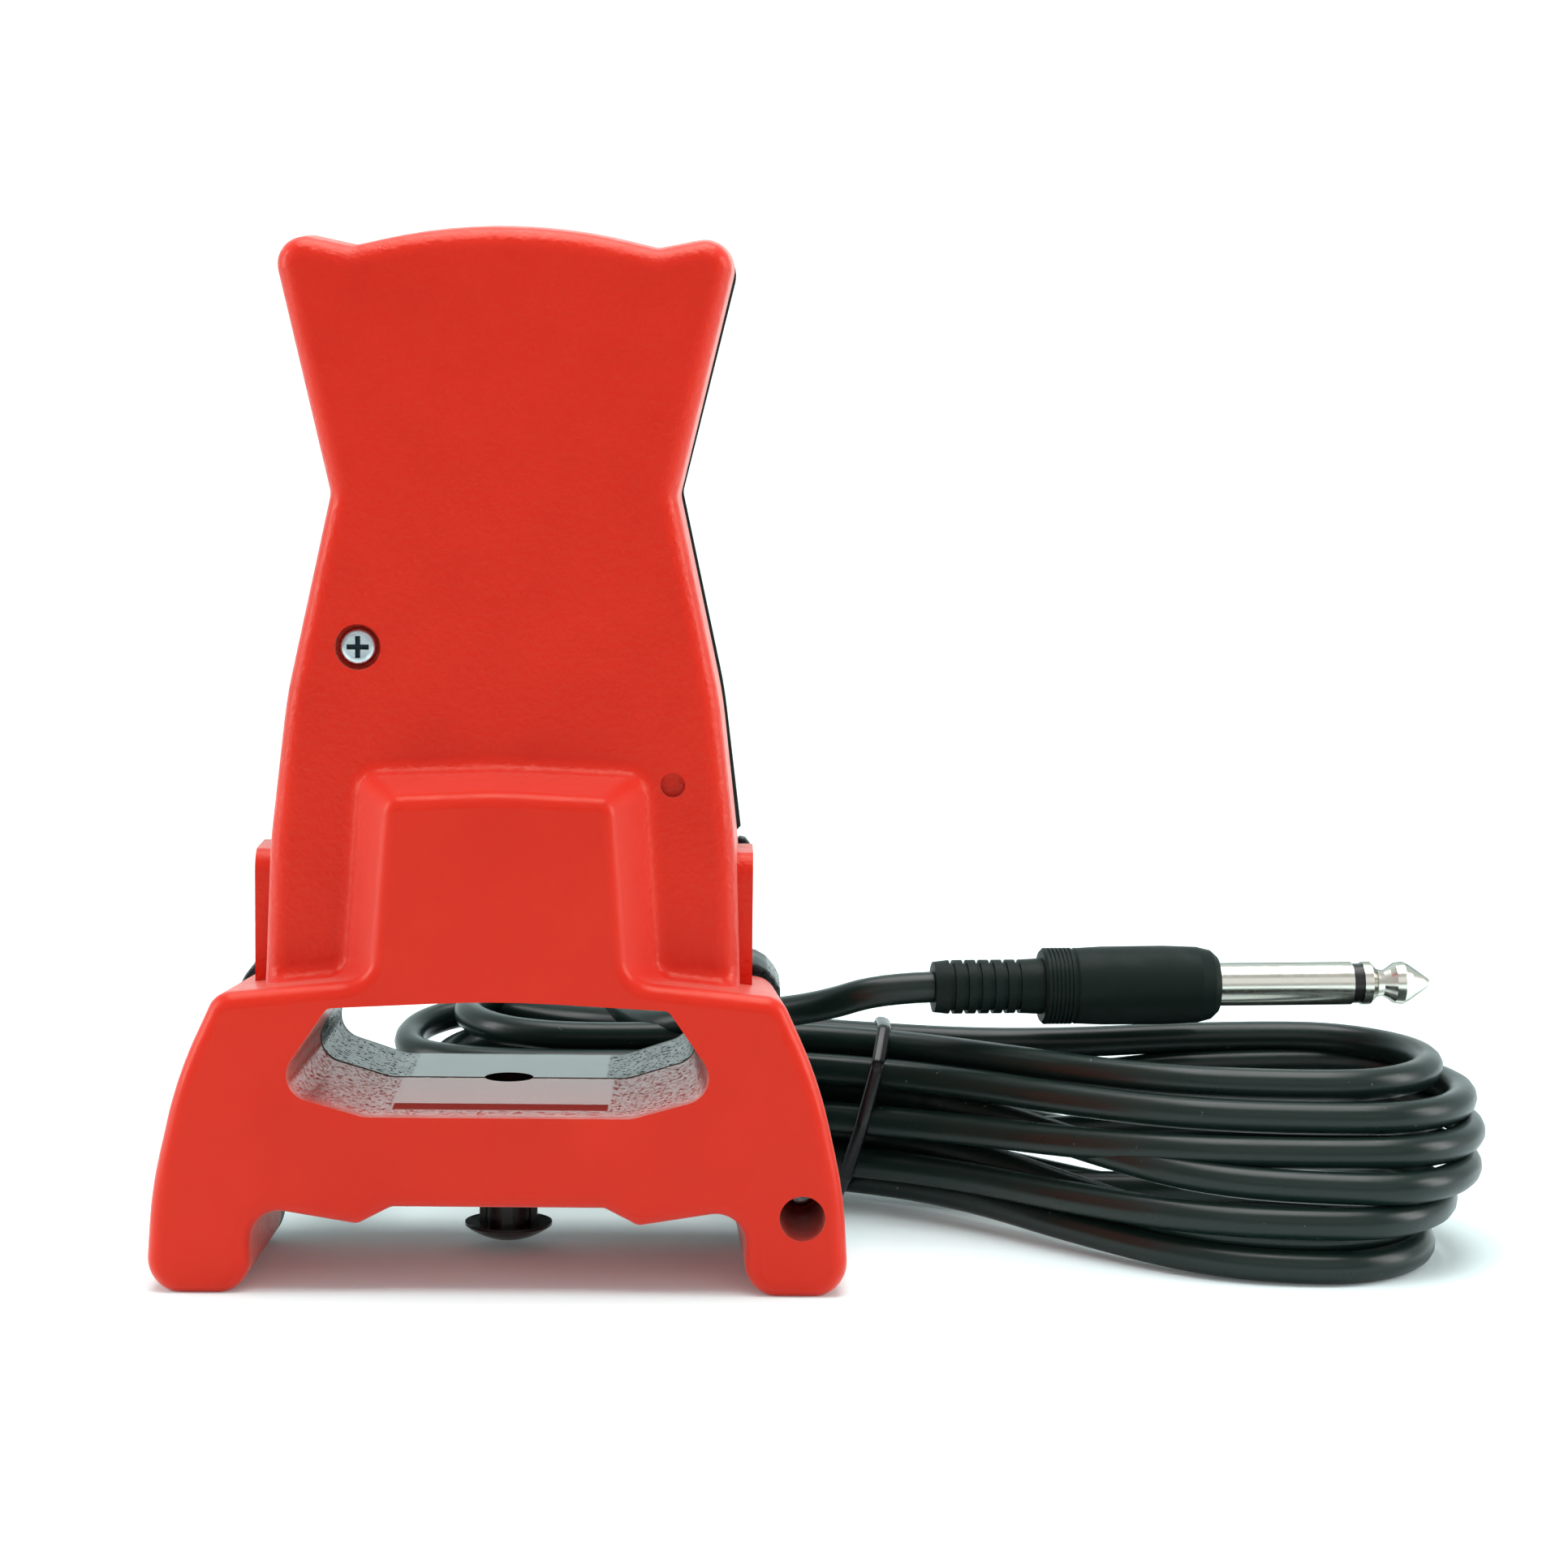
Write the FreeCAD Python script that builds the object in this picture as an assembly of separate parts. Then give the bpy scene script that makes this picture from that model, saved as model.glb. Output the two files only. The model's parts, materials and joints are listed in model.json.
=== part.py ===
import FreeCAD, Part
import math
import os

# Sustain pedal standing upright on its two rear legs, in millimetres.
# +X is right, +Y runs from the red underside to the tread, +Z is up the pedal.
# The origin is under the middle of the pedal without its cord, on the surface it stands on.

# ---- overall sizes ----
OVERALL_DEPTH = 48.0
PEDAL_HEIGHT = 143.4
SEAM_DEPTH = 29.5           # parting line of the two base halves, from the underside
WALL = 2.4
# ---- base, seen from the underside ----
BASE_HALF_WIDTH = 47.8
BASE_TOP = 43.2
SHOULDER_X = 38.2
SHOULDER_DROP = 2.2
SIDE_TAPER = 1.6            # how much narrower the sides are at the seam
TOP_TAPER = 2.0             # how much lower the top is at the seam
LEG_INNER_X = 33.6
LEG_INNER_TAPER = 1.2
ARCH_HEIGHT = 11.8
FOOT_CUT = 0.3              # trimmed off the rounded feet, which makes them flat
BROW_X = 19.0               # low points of the lower edge, beside the peg
BROW_HEIGHT = 9.4
NOTCH_X = 14.4
HOUSING_TAPER = 2.6         # how much narrower the back is than the seam
REAR_FOOT_DEPTH = 32.5      # where the back leaves the standing surface
REAR_FULL_HEIGHT = 25.0     # height at which the back reaches its full depth
# ---- window through the base ----
WINDOW_TOP_X = 22.9
WINDOW_TOP_Z = 39.2
WINDOW_CROWN = 1.2
WINDOW_SIDE_X = 30.6
WINDOW_SIDE_Z = 28.0
WINDOW_SILL_X = 18.0
WINDOW_SILL_Z = 24.4
WINDOW_TAPER = 3.4          # how much narrower each side is at the back
TUNNEL_WALL = 1.8
# ---- waisted tray and the raised boss on it ----
TRAY_FACE = 9.6
TRAY_RIM = 21.0
TRAY_DRAFT = 0.5
TRAY_HORN_X = 31.6
TRAY_HORN_DROP = 0.5        # how far below the full height the horns' corners are
TRAY_DIP_X = 20.5
TRAY_DIP_DROP = 2.8
TRAY_CROWN = 2.0            # how far the top's corner point stands above its arc
TRAY_WAIST_X = 23.3
TRAY_WAIST_Z = 107.6
TRAY_ROOT_X = 32.4
BOSS_TOP_Z = 68.0
BOSS_TOP_X = 14.9
BOSS_ROOT_X = 17.0
BOSS_SLOPE = 4.7
BOSS_TOP_SLOPE = 2.6
# ---- hinge ----
PIN_Z = 50.0
PIN_R = 2.0
PRESS_DEG = 6.0
EAR_INNER_X = 31.5
EAR_OUTER_X = 34.2
EAR_TOP_Z = 58.5
CHEEK_R = 8.0
PIN_HALF_LENGTH = 33.2
RUNNING_GAP = 0.05
BUSH_R = 3.5
BUSH_LENGTH = 5.0
# ---- pedal lever, described pressed down on the tray ----
LEVER_GAP = 0.7
LEVER_TOP = 36.5
LEVER_WALL = 2.4
LEVER_HUB_R = 7.0
LEVER_HUB_X = 30.2
LEVER_LIP = 0.25            # how far the lever stands outside the tray
PAD_THICK = 1.2
PAD_MARGIN = 4.5
# ---- inside parts ----
BOARD_DEPTH = 13.6
BOARD_THICK = 1.6
SWITCH_Z = 86.0
SWITCH_TOP = 25.4
PLUNGER_TOP = 29.6
PLUNGER_TRAVEL = 3.79
PLUNGER_GAP = 0.1
PLUNGER_LENGTH = 8.8
ACTUATOR_GAP = 0.24
SCREW_X = -19.6
SCREW_Z = 87.0
SCREW_R = 1.5
SCREW_HEAD_R = 2.6
SCREW_RECESS_R = 3.1
SPRING_Z = 107.0
SPRING_MEAN_R = 5.5
SPRING_WIRE_R = 0.7
BUMPER_X = 18.0
BUMPER_Z = 127.0
BUMPER_R = 4.5
BUMPER_HEIGHT = 5.0
LEG_SCREW_X = 41.2
LEG_SCREW_Z = 10.9
LEG_SCREW_HOLE_R = 3.1
LEG_SCREW_SEAT = 20.0
# ---- peg between the legs ----
PEG_SHAFT_R = 3.3
PEG_HEAD_R = 6.2
PEG_HEAD_Z = 1.0
PEG_HEAD_THICK = 2.6
PEG_CROSS_WIDTH = 8.2
PEG_CROSS_THICK = 1.6
PEG_GAP = 0.15
# ---- cord ----
CORD_R = 2.3
GLAND_X = -25.0
GLAND_Z = 17.5
GLAND_REACH = 18.0          # how far the strain relief stands out of the back
GLAND_END = OVERALL_DEPTH + GLAND_REACH
GLAND_HOLE_R = 4.0
PLUG_YAW = 6.0
PLUG_START = (61.0, 47.0, 34.9)
PLUG_SLEEVE_R = 3.175
TIE_WIDTH = 2.6
TIE_LEAN = 15.0

SOLE_Y = -OVERALL_DEPTH / 2
V = FreeCAD.Vector
X_AXIS = V(1, 0, 0)
Y_AXIS = V(0, 1, 0)
Z_AXIS = V(0, 0, 1)


def at(x, depth, z):
    """A point given by its depth behind the underside."""
    return V(x, SOLE_Y + depth, z)


def box(x0, x1, d0, d1, z0, z1):
    return Part.makeBox(x1 - x0, d1 - d0, z1 - z0, at(x0, d0, z0))


def rod(radius, x, z, d0, d1):
    """A round bar along Y."""
    return Part.makeCylinder(radius, d1 - d0, at(x, d0, z), Y_AXIS)


def bar(radius, x0, x1, depth, z):
    """A round bar along X."""
    return Part.makeCylinder(radius, x1 - x0, at(x0, depth, z), X_AXIS)


def post(radius, x, depth, z0, z1):
    """A round bar along Z."""
    return Part.makeCylinder(radius, z1 - z0, at(x, depth, z0), Z_AXIS)


def mirrored(half):
    """A closed outline from its right half, given from the top down to the bottom."""
    left = [(-x, z, r) for x, z, r in reversed(half) if x > 0]
    return half + left


def rounded_wire(outline, depth):
    """A wire of straight lines with an arc of the stated radius at each corner."""
    corners = []
    count = len(outline)
    for i, (x, z, r) in enumerate(outline):
        p = at(x, depth, z)
        before = at(outline[i - 1][0], depth, outline[i - 1][1])
        after = at(outline[(i + 1) % count][0], depth, outline[(i + 1) % count][1])
        if r == 0:
            corners.append((p, None, p))
            continue
        u = (before - p).normalize()
        v = (after - p).normalize()
        half = u.getAngle(v) / 2
        reach = r / math.tan(half)
        middle = p + (u + v).normalize() * (r / math.sin(half) - r)
        corners.append((p + u * reach, middle, p + v * reach))
    edges = []
    for i, (start, middle, end) in enumerate(corners):
        if middle is not None:
            edges.append(Part.Arc(start, middle, end).toShape())
        following = corners[(i + 1) % count][0]
        if end.distanceToPoint(following) > 1e-6:
            edges.append(Part.makeLine(end, following))
    return Part.Wire(edges)


def slab(outline, d0, d1):
    face = Part.Face(rounded_wire(outline, d0))
    return face.extrude(V(0, d1 - d0, 0))


def loft(front, d0, back, d1):
    wires = [rounded_wire(front, d0), rounded_wire(back, d1)]
    return Part.makeLoft(wires, True, True)


def shrunk(outline, margin):
    """The outline moved in by a margin along each corner's own bisector."""
    moved = []
    count = len(outline)
    for i, (x, z, r) in enumerate(outline):
        p = V(x, 0, z)
        u = V(outline[i - 1][0], 0, outline[i - 1][1]) - p
        v = V(outline[(i + 1) % count][0], 0, outline[(i + 1) % count][1]) - p
        u.normalize()
        v.normalize()
        turn = u.cross(v).y
        half = u.getAngle(v) / 2
        if abs(turn) < 1e-6:
            step = V(-u.z, 0, u.x) * margin
            inward = step if step.dot(V(0, 0, 1)) < 0 else step * -1
            moved.append((x + inward.x, z + inward.z, r))
            continue
        side = 1 if turn < 0 else -1
        shift = (u + v).normalize() * (side * margin / math.sin(half))
        radius = max(r - side * margin, 0.3) if r else 0
        moved.append((x + shift.x, z + shift.z, radius))
    return moved


# ---- outlines ----
def base_outline(share):
    """Base outline: share 0 at the underside, 1 at the seam, more behind it."""
    side = SIDE_TAPER * min(share, 1) + HOUSING_TAPER * max(share - 1, 0)
    top = TOP_TAPER * min(share, 1)
    leg = LEG_INNER_X - LEG_INNER_TAPER * share
    return mirrored([
        (SHOULDER_X - side, BASE_TOP - SHOULDER_DROP - top, 3.5),
        (43.4 - side, 29.5, 60),
        (46.9 - side, 14.0, 60),
        (BASE_HALF_WIDTH - side, -FOOT_CUT, 4.8),
        (leg, -FOOT_CUT, 4.6),
        (leg, ARCH_HEIGHT, 4.0),
        (BROW_X, BROW_HEIGHT, 1.5),
        (NOTCH_X, ARCH_HEIGHT, 1.5),
    ])


def with_raised_top(outline, share):
    """The base's top edge rises a little from each shoulder to the boss."""
    top = TOP_TAPER * min(share, 1)
    rise = [(17.0, BASE_TOP - top, 30), (-17.0, BASE_TOP - top, 30)]
    return rise[:1] + outline + rise[1:]


def window_outline(taper, grow=0.0):
    half = [
        (0, WINDOW_TOP_Z + WINDOW_CROWN, 150),
        (WINDOW_TOP_X - taper * 0.6, WINDOW_TOP_Z, 1.2),
        (WINDOW_SIDE_X - taper, WINDOW_SIDE_Z, 3.6),
        (WINDOW_SILL_X - taper * 0.6, WINDOW_SILL_Z, 6.0),
    ]
    outline = mirrored(half)
    return shrunk(outline, -grow) if grow else outline


def tray_outline(grow=0.0):
    half = [
        (0, PEDAL_HEIGHT + TRAY_CROWN, 74),
        (TRAY_DIP_X, PEDAL_HEIGHT - TRAY_DIP_DROP, 3.0),
        (TRAY_HORN_X, PEDAL_HEIGHT - TRAY_HORN_DROP, 3.6),
        (TRAY_WAIST_X, TRAY_WAIST_Z, 3.0),
        (29.3, 80.0, 60),
        (31.6, 60.0, 60),
        (TRAY_ROOT_X, 38.0, 0),
    ]
    outline = mirrored(half)
    return shrunk(outline, -grow) if grow else outline


def boss_outline(slope, top_slope):
    return mirrored([
        (0, BOSS_TOP_Z + top_slope + 0.25, 90),
        (BOSS_TOP_X + slope, BOSS_TOP_Z + top_slope - 0.5, 2.6),
        (BOSS_ROOT_X + slope, 40.0, 0),
    ])


# ---- small tools ----
def fillet(shape, radius, pick):
    edges = [e for e in shape.Edges if pick(e)]
    return shape.makeFillet(radius, edges)


def mid(edge):
    p = edge.valueAt((edge.FirstParameter + edge.LastParameter) / 2)
    return p.x, p.y - SOLE_Y, p.z


def flat_at(edge, depth, tolerance=0.01):
    b = edge.BoundBox
    return abs(b.YMin - SOLE_Y - depth) < tolerance and abs(b.YMax - SOLE_Y - depth) < tolerance


def rest_turned(shape):
    """A lever piece made in the pressed place, turned back to its place at rest."""
    shape = shape.copy()
    shape.rotate(at(0, SEAM_DEPTH, PIN_Z), X_AXIS, -PRESS_DEG)
    return shape


def save(name, shape):
    shape.exportStep("parts/" + name + ".step")
    print(name, len(shape.Solids), "solids", round(shape.Volume, 1), "valid", shape.isValid())


# ---- red bottom shell ----
def window_tool(d0, d1, grow=0.0):
    """The window's tapering hole between two depths."""
    def taper(depth):
        return WINDOW_TAPER * depth / OVERALL_DEPTH
    return loft(window_outline(taper(d0), grow), d0, window_outline(taper(d1), grow), d1)


def shell_outside():
    base = loft(with_raised_top(base_outline(0), 0), 0,
                with_raised_top(base_outline(1), 1), SEAM_DEPTH)
    boss = loft(boss_outline(0, 0), 0, boss_outline(BOSS_SLOPE, BOSS_TOP_SLOPE), TRAY_FACE)
    foot = slab(boss_outline(BOSS_SLOPE, BOSS_TOP_SLOPE), TRAY_FACE, TRAY_FACE + 2)
    tray = loft(tray_outline(), TRAY_FACE, tray_outline(TRAY_DRAFT), TRAY_RIM)
    body = base.fuse([boss, foot, tray]).removeSplitter()

    def inner_corner(e):
        x, d, z = mid(e)
        sloping = d < TRAY_FACE and not flat_at(e, 0)
        return sloping and 40 < z < 46 and 12 < abs(x) < 26 and e.Length > 5
    body = fillet(body, 3.0, inner_corner)

    def boss_root(e):
        x, d, z = mid(e)
        return flat_at(e, TRAY_FACE) and (z < 75 and abs(x) < 24 or z < BASE_TOP)
    body = fillet(body, 2.2, boss_root)

    def tray_edge(e):
        x, d, z = mid(e)
        return flat_at(e, TRAY_FACE) and (z > 90 or z > 45 and abs(x) > 24)
    body = fillet(body, 3.0, tray_edge)
    return fillet(body, 2.2, lambda e: flat_at(e, 0)).Solids[0]


def shell_hollow():
    """The space inside the shell, open at its rim."""
    base_front = shrunk(with_raised_top(base_outline(0.1), 0.1), WALL)
    base_back = shrunk(with_raised_top(base_outline(1), 1), WALL)
    base = loft(base_front, WALL, base_back, SEAM_DEPTH + 0.01)
    tunnel = window_tool(WALL - 1, SEAM_DEPTH + 1, TUNNEL_WALL)
    tray = slab(shrunk(tray_outline(), WALL), TRAY_FACE + WALL, TRAY_RIM + 0.01)
    tray = tray.common(box(-60, 60, 0, 60, 46, 200))
    boss = loft(shrunk(boss_outline(0, 0), WALL), WALL,
                shrunk(boss_outline(BOSS_SLOPE, BOSS_TOP_SLOPE), WALL), TRAY_FACE + WALL + 0.01)
    boss = boss.common(box(-60, 60, 0, 60, 46, 200))
    gutter = box(-30, -26.5, TRAY_FACE + WALL + 2, TRAY_RIM - 0.5, 34, 47)
    gutter = gutter.cut(tunnel)
    return base.cut(tunnel).fuse([tray, boss, gutter])


def ear(side):
    """Hinge ear with half of the pin's blind bearing."""
    inner = min(side * EAR_INNER_X, side * EAR_OUTER_X)
    width = EAR_OUTER_X - EAR_INNER_X
    body = Part.makeBox(width, SEAM_DEPTH - 15, EAR_TOP_Z - 38, at(inner, 15, 38))
    top = [e for e in body.Edges if abs(e.BoundBox.ZMin - EAR_TOP_Z) < 0.01
           and e.BoundBox.XLength > 1]
    return body.makeFillet(3.0, top)


def under_feet():
    """The space below the standing surface."""
    return box(-60, 60, -5, OVERALL_DEPTH + 5, -5, 0)


def bottom_shell():
    shell = shell_outside().cut(shell_hollow())
    shell = shell.cut(window_tool(-0.01, SEAM_DEPTH + 0.01))
    pieces = [ear(-1), ear(1)]
    # boss for the board screw, spring post, bumper seats and the leg screw's pillar
    floor = TRAY_FACE + WALL
    pieces.append(rod(4.4, SCREW_X, SCREW_Z, floor - 0.5, BOARD_DEPTH))
    pieces.append(rod(2.2, 13.0, 76.0, floor - 0.5, BOARD_DEPTH))
    pieces.append(rod(2.2, 13.0, 94.0, floor - 0.5, BOARD_DEPTH))
    pieces.append(rod(SPRING_MEAN_R - SPRING_WIRE_R - 0.4, 0, SPRING_Z, floor - 0.5, floor + 5))
    for side in (-1, 1):
        seat = rod(BUMPER_R + 1.2, side * BUMPER_X, BUMPER_Z, floor - 0.5, floor + 2)
        seat = seat.cut(rod(BUMPER_R, side * BUMPER_X, BUMPER_Z, floor, floor + 3))
        pieces.append(seat)
    pillar = rod(LEG_SCREW_HOLE_R + 1.3, LEG_SCREW_X, LEG_SCREW_Z, 1.5, LEG_SCREW_SEAT + 2)
    pieces.append(pillar.common(slab(shrunk(base_outline(0.8), 1.0), 0, SEAM_DEPTH)))
    # collar that holds the peg's shaft, split along the seam
    collar = post(PEG_SHAFT_R + 2.0, 0, SEAM_DEPTH, ARCH_HEIGHT, WINDOW_SILL_Z)
    pieces.append(collar.common(box(-9, 9, 0, SEAM_DEPTH, ARCH_HEIGHT, WINDOW_SILL_Z)))
    shell = shell.fuse(pieces)
    cuts = [
        rod(SCREW_RECESS_R, SCREW_X, SCREW_Z, TRAY_FACE - 1, TRAY_FACE + 1.9),
        rod(SCREW_R, SCREW_X, SCREW_Z, TRAY_FACE, BOARD_DEPTH + 0.1),
        rod(1.7, 23.1, 68.6, TRAY_FACE - 1, TRAY_FACE + 1.4),
        rod(LEG_SCREW_HOLE_R, LEG_SCREW_X, LEG_SCREW_Z, -0.1, LEG_SCREW_SEAT),
        rod(SCREW_R, LEG_SCREW_X, LEG_SCREW_Z, LEG_SCREW_SEAT - 0.1, LEG_SCREW_SEAT + 2.1),
        bar(PIN_R, -PIN_HALF_LENGTH, PIN_HALF_LENGTH, SEAM_DEPTH, PIN_Z),
    ]
    cuts += peg_bore()
    shell = shell.cut(cuts + [under_feet()])
    return shell.removeSplitter()


def peg_bore():
    """The peg's guide: a bore with slots for its ribs and a chamber for its collar."""
    width = PEG_CROSS_WIDTH / 2 + PEG_GAP
    thick = PEG_CROSS_THICK / 2 + PEG_GAP
    bore = post(PEG_SHAFT_R + PEG_GAP, 0, SEAM_DEPTH, ARCH_HEIGHT - 3, WINDOW_SILL_Z + 2)
    slot = box(-width, width, SEAM_DEPTH - thick, SEAM_DEPTH + thick, 5, ARCH_HEIGHT + 8)
    cross = box(-thick, thick, SEAM_DEPTH - width, SEAM_DEPTH + width, 5, ARCH_HEIGHT + 8)
    return [bore, slot, cross]


# ---- black top housing ----
def rear_profile():
    """Side view of the housing: a sloping back that rises into the hood."""
    def p(depth, z):
        return at(-60, depth, z)
    points = [
        p(SEAM_DEPTH, -FOOT_CUT), p(REAR_FOOT_DEPTH, -FOOT_CUT),
        p(OVERALL_DEPTH, REAR_FULL_HEIGHT), p(OVERALL_DEPTH, 56), p(SEAM_DEPTH, 56),
        p(SEAM_DEPTH, -FOOT_CUT),
    ]
    return Part.Face(Part.makePolygon(points)).extrude(V(120, 0, 0))


def back_share():
    return 1 + (OVERALL_DEPTH - SEAM_DEPTH) / OVERALL_DEPTH * 2


def housing_outside():
    body = loft(with_raised_top(base_outline(1), 1), SEAM_DEPTH,
                with_raised_top(base_outline(back_share()), 1), OVERALL_DEPTH)
    body = body.common(rear_profile())
    hood = slab(mirrored([(30.6, 56.0, 5.0), (33.0, 34.0, 0)]), 38.6, OVERALL_DEPTH)
    body = body.fuse(hood).removeSplitter()

    def roll(e):
        x, d, z = mid(e)
        return abs(x) < 1 and abs(d - OVERALL_DEPTH) < 0.1 and abs(z - REAR_FULL_HEIGHT) < 0.5
    body = fillet(body, 9.0, roll)
    return fillet(body, 1.8, lambda e: flat_at(e, OVERALL_DEPTH) and e.BoundBox.XLength < 70)


def housing_hollow():
    outline_front = shrunk(with_raised_top(base_outline(1), 1), WALL)
    outline_back = shrunk(with_raised_top(base_outline(back_share()), 1), WALL)
    body = loft(outline_front, SEAM_DEPTH - 0.01, outline_back, OVERALL_DEPTH - WALL)
    profile = rear_profile()
    profile.translate(V(0, -WALL * 1.1, WALL * 0.6))
    body = body.common(profile.fuse(box(-60, 60, SEAM_DEPTH - 0.1, SEAM_DEPTH + 1.5, WALL, 50)))
    hood = box(-28, 28, 38.6 + 2, OVERALL_DEPTH - WALL, 36, 56 - WALL)
    return body.fuse(hood).cut(window_tool(SEAM_DEPTH - 1, OVERALL_DEPTH + 1, TUNNEL_WALL))


def cheek(side):
    """Black half of the hinge bearing, over the red ear."""
    inner = min(side * EAR_INNER_X, side * (EAR_OUTER_X - 0.3))
    outer = max(side * EAR_INNER_X, side * (EAR_OUTER_X - 0.3))
    body = bar(CHEEK_R, inner, outer, SEAM_DEPTH, PIN_Z)
    web = box(inner, outer, SEAM_DEPTH, SEAM_DEPTH + CHEEK_R, 37, PIN_Z)
    behind = box(-60, 60, SEAM_DEPTH, 60, 0, 100)
    return body.fuse(web).common(behind)


def top_housing():
    body = housing_outside().cut(housing_hollow())
    pieces = [cheek(-1), cheek(1)]
    boss = rod(3.4, LEG_SCREW_X, LEG_SCREW_Z, LEG_SCREW_SEAT + 2, SEAM_DEPTH + 3)
    pieces.append(boss.common(slab(shrunk(base_outline(1), WALL + 0.3), 0, OVERALL_DEPTH)))
    collar = post(PEG_SHAFT_R + 2.0, 0, SEAM_DEPTH, ARCH_HEIGHT, WINDOW_SILL_Z)
    pieces.append(collar.common(box(-9, 9, SEAM_DEPTH, 60, ARCH_HEIGHT, WINDOW_SILL_Z)))
    # tongue that hooks behind the red shell on the side without a screw
    pieces.append(box(-41.0, -39.0, SEAM_DEPTH - 6, SEAM_DEPTH + 3, 14, 22))
    # saddle under the cord clamp
    pieces.append(box(-31, -19, SEAM_DEPTH + 1.5, SEAM_DEPTH + 6, ARCH_HEIGHT + 1.5, 15.2))
    body = body.fuse(pieces)
    cuts = [
        window_tool(SEAM_DEPTH - 0.01, OVERALL_DEPTH + 0.01),
        bar(PIN_R, -PIN_HALF_LENGTH, PIN_HALF_LENGTH, SEAM_DEPTH, PIN_Z),
        rod(SCREW_R, LEG_SCREW_X, LEG_SCREW_Z, LEG_SCREW_SEAT, SEAM_DEPTH + 2),
        rod(GLAND_HOLE_R, GLAND_X, GLAND_Z, SEAM_DEPTH, OVERALL_DEPTH + 1),
    ]
    cuts += peg_bore()
    return body.cut(cuts + [under_feet()]).removeSplitter()


# ---- pedal lever ----
def lever_outline(grow=0.0):
    half = [
        (0, PEDAL_HEIGHT + TRAY_CROWN - 1.0, 74),
        (TRAY_DIP_X, PEDAL_HEIGHT - TRAY_DIP_DROP - 1.0, 3.0),
        (TRAY_HORN_X, PEDAL_HEIGHT - TRAY_HORN_DROP - 1.0, 3.6),
        (TRAY_WAIST_X, TRAY_WAIST_Z - 0.4, 3.0),
        (29.3, 80.0, 60),
        (31.7, 61.0, 0),
        (LEVER_HUB_X, 59.4, 0),
        (LEVER_HUB_X, PIN_Z - LEVER_HUB_R, 0),
    ]
    return shrunk(mirrored(half), -grow) if grow else mirrored(half)


def lever_outside():
    bottom = TRAY_RIM + LEVER_GAP
    body = loft(lever_outline(TRAY_DRAFT + LEVER_LIP), bottom, lever_outline(-0.4), LEVER_TOP)
    sides = box(-LEVER_HUB_X, LEVER_HUB_X, bottom, LEVER_TOP, 40, 59.4)
    body = body.common(box(-60, 60, 0, 60, 59.4, 200)).fuse(
        body.common(sides).common(box(-60, 60, 0, 60, 50, 60)))
    body = body.cut(box(-60, 60, 0, SEAM_DEPTH - LEVER_HUB_R, 0, PIN_Z + LEVER_HUB_R))
    hub = bar(LEVER_HUB_R, -LEVER_HUB_X, LEVER_HUB_X, SEAM_DEPTH, PIN_Z)
    body = body.fuse(hub).removeSplitter()
    return fillet(body, 3.0, lambda e: flat_at(e, LEVER_TOP) and mid(e)[2] > 61)


def pedal_lever():
    bottom = TRAY_RIM + LEVER_GAP
    inside = shrunk(lever_outline(), LEVER_WALL)
    hollow = slab(inside, bottom - 1, LEVER_TOP - LEVER_WALL)
    hollow = hollow.common(box(-60, 60, 0, 60, PIN_Z + LEVER_HUB_R + 1, 200))
    lever = lever_outside().cut(hollow)
    lever = lever.cut(bar(LEVER_HUB_R - LEVER_WALL, -22, 22, SEAM_DEPTH, PIN_Z))
    inner_face = LEVER_TOP - LEVER_WALL + 0.5
    # the actuator ends just above the plunger at both ends of its travel
    actuator_end = PLUNGER_TOP - PLUNGER_TRAVEL + ACTUATOR_GAP
    ribs = [
        box(-1.2, 1.2, actuator_end, inner_face, SWITCH_Z - 2, SWITCH_Z + 2),
        rod(SPRING_MEAN_R - SPRING_WIRE_R - 0.6, 0, SPRING_Z, inner_face - 4.5, inner_face),
    ]
    for side in (-1, 1):
        ribs.append(rod(3.0, side * BUMPER_X, BUMPER_Z, TRAY_FACE + WALL + BUMPER_HEIGHT + 0.3,
                        inner_face))
        ribs.append(box(side * 12 - 0.8, side * 12 + 0.8, 26, inner_face, 58, 100))
    lever = lever.fuse(ribs)
    bush_start = LEVER_HUB_X - BUSH_LENGTH
    lever = lever.cut([
        bar(BUSH_R, bush_start, LEVER_HUB_X + 1, SEAM_DEPTH, PIN_Z),
        bar(BUSH_R, -LEVER_HUB_X - 1, -bush_start, SEAM_DEPTH, PIN_Z),
        bar(PIN_R + 0.6, -40, 40, SEAM_DEPTH, PIN_Z),
    ])
    return rest_turned(lever.removeSplitter())


def tread_pad():
    """Rubber tread with raised ribs across it."""
    outline = shrunk(lever_outline(-0.4), PAD_MARGIN)
    room = box(-60, 60, 0, 60, 66, 200)
    ribs = slab(outline, LEVER_TOP, LEVER_TOP + PAD_THICK).common(room)
    z = 70.0
    while z < 137:
        groove = box(-60, 60, LEVER_TOP + PAD_THICK * 0.5, 60, z, z + 1.6)
        ribs = ribs.cut(groove)
        z += 5.0
    return rest_turned(ribs)


def hinge_bush(side):
    """Flanged nylon bush between the pin and the lever."""
    body = bar(BUSH_R, LEVER_HUB_X - BUSH_LENGTH, LEVER_HUB_X, SEAM_DEPTH, PIN_Z)
    flange = bar(BUSH_R + 1.3, LEVER_HUB_X, EAR_INNER_X - 0.4, SEAM_DEPTH, PIN_Z)
    bush = body.fuse(flange).cut(bar(PIN_R + RUNNING_GAP, 0, 40, SEAM_DEPTH, PIN_Z))
    if side < 0:
        bush = bush.mirror(V(0, 0, 0), X_AXIS)
    return bush


def hinge_pin():
    return bar(PIN_R, -PIN_HALF_LENGTH, PIN_HALF_LENGTH, SEAM_DEPTH, PIN_Z)


# ---- stops and spring ----
def felt_stop():
    return box(-26, 26, 37.1, 38.6, 50.5, 54.5)


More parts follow.
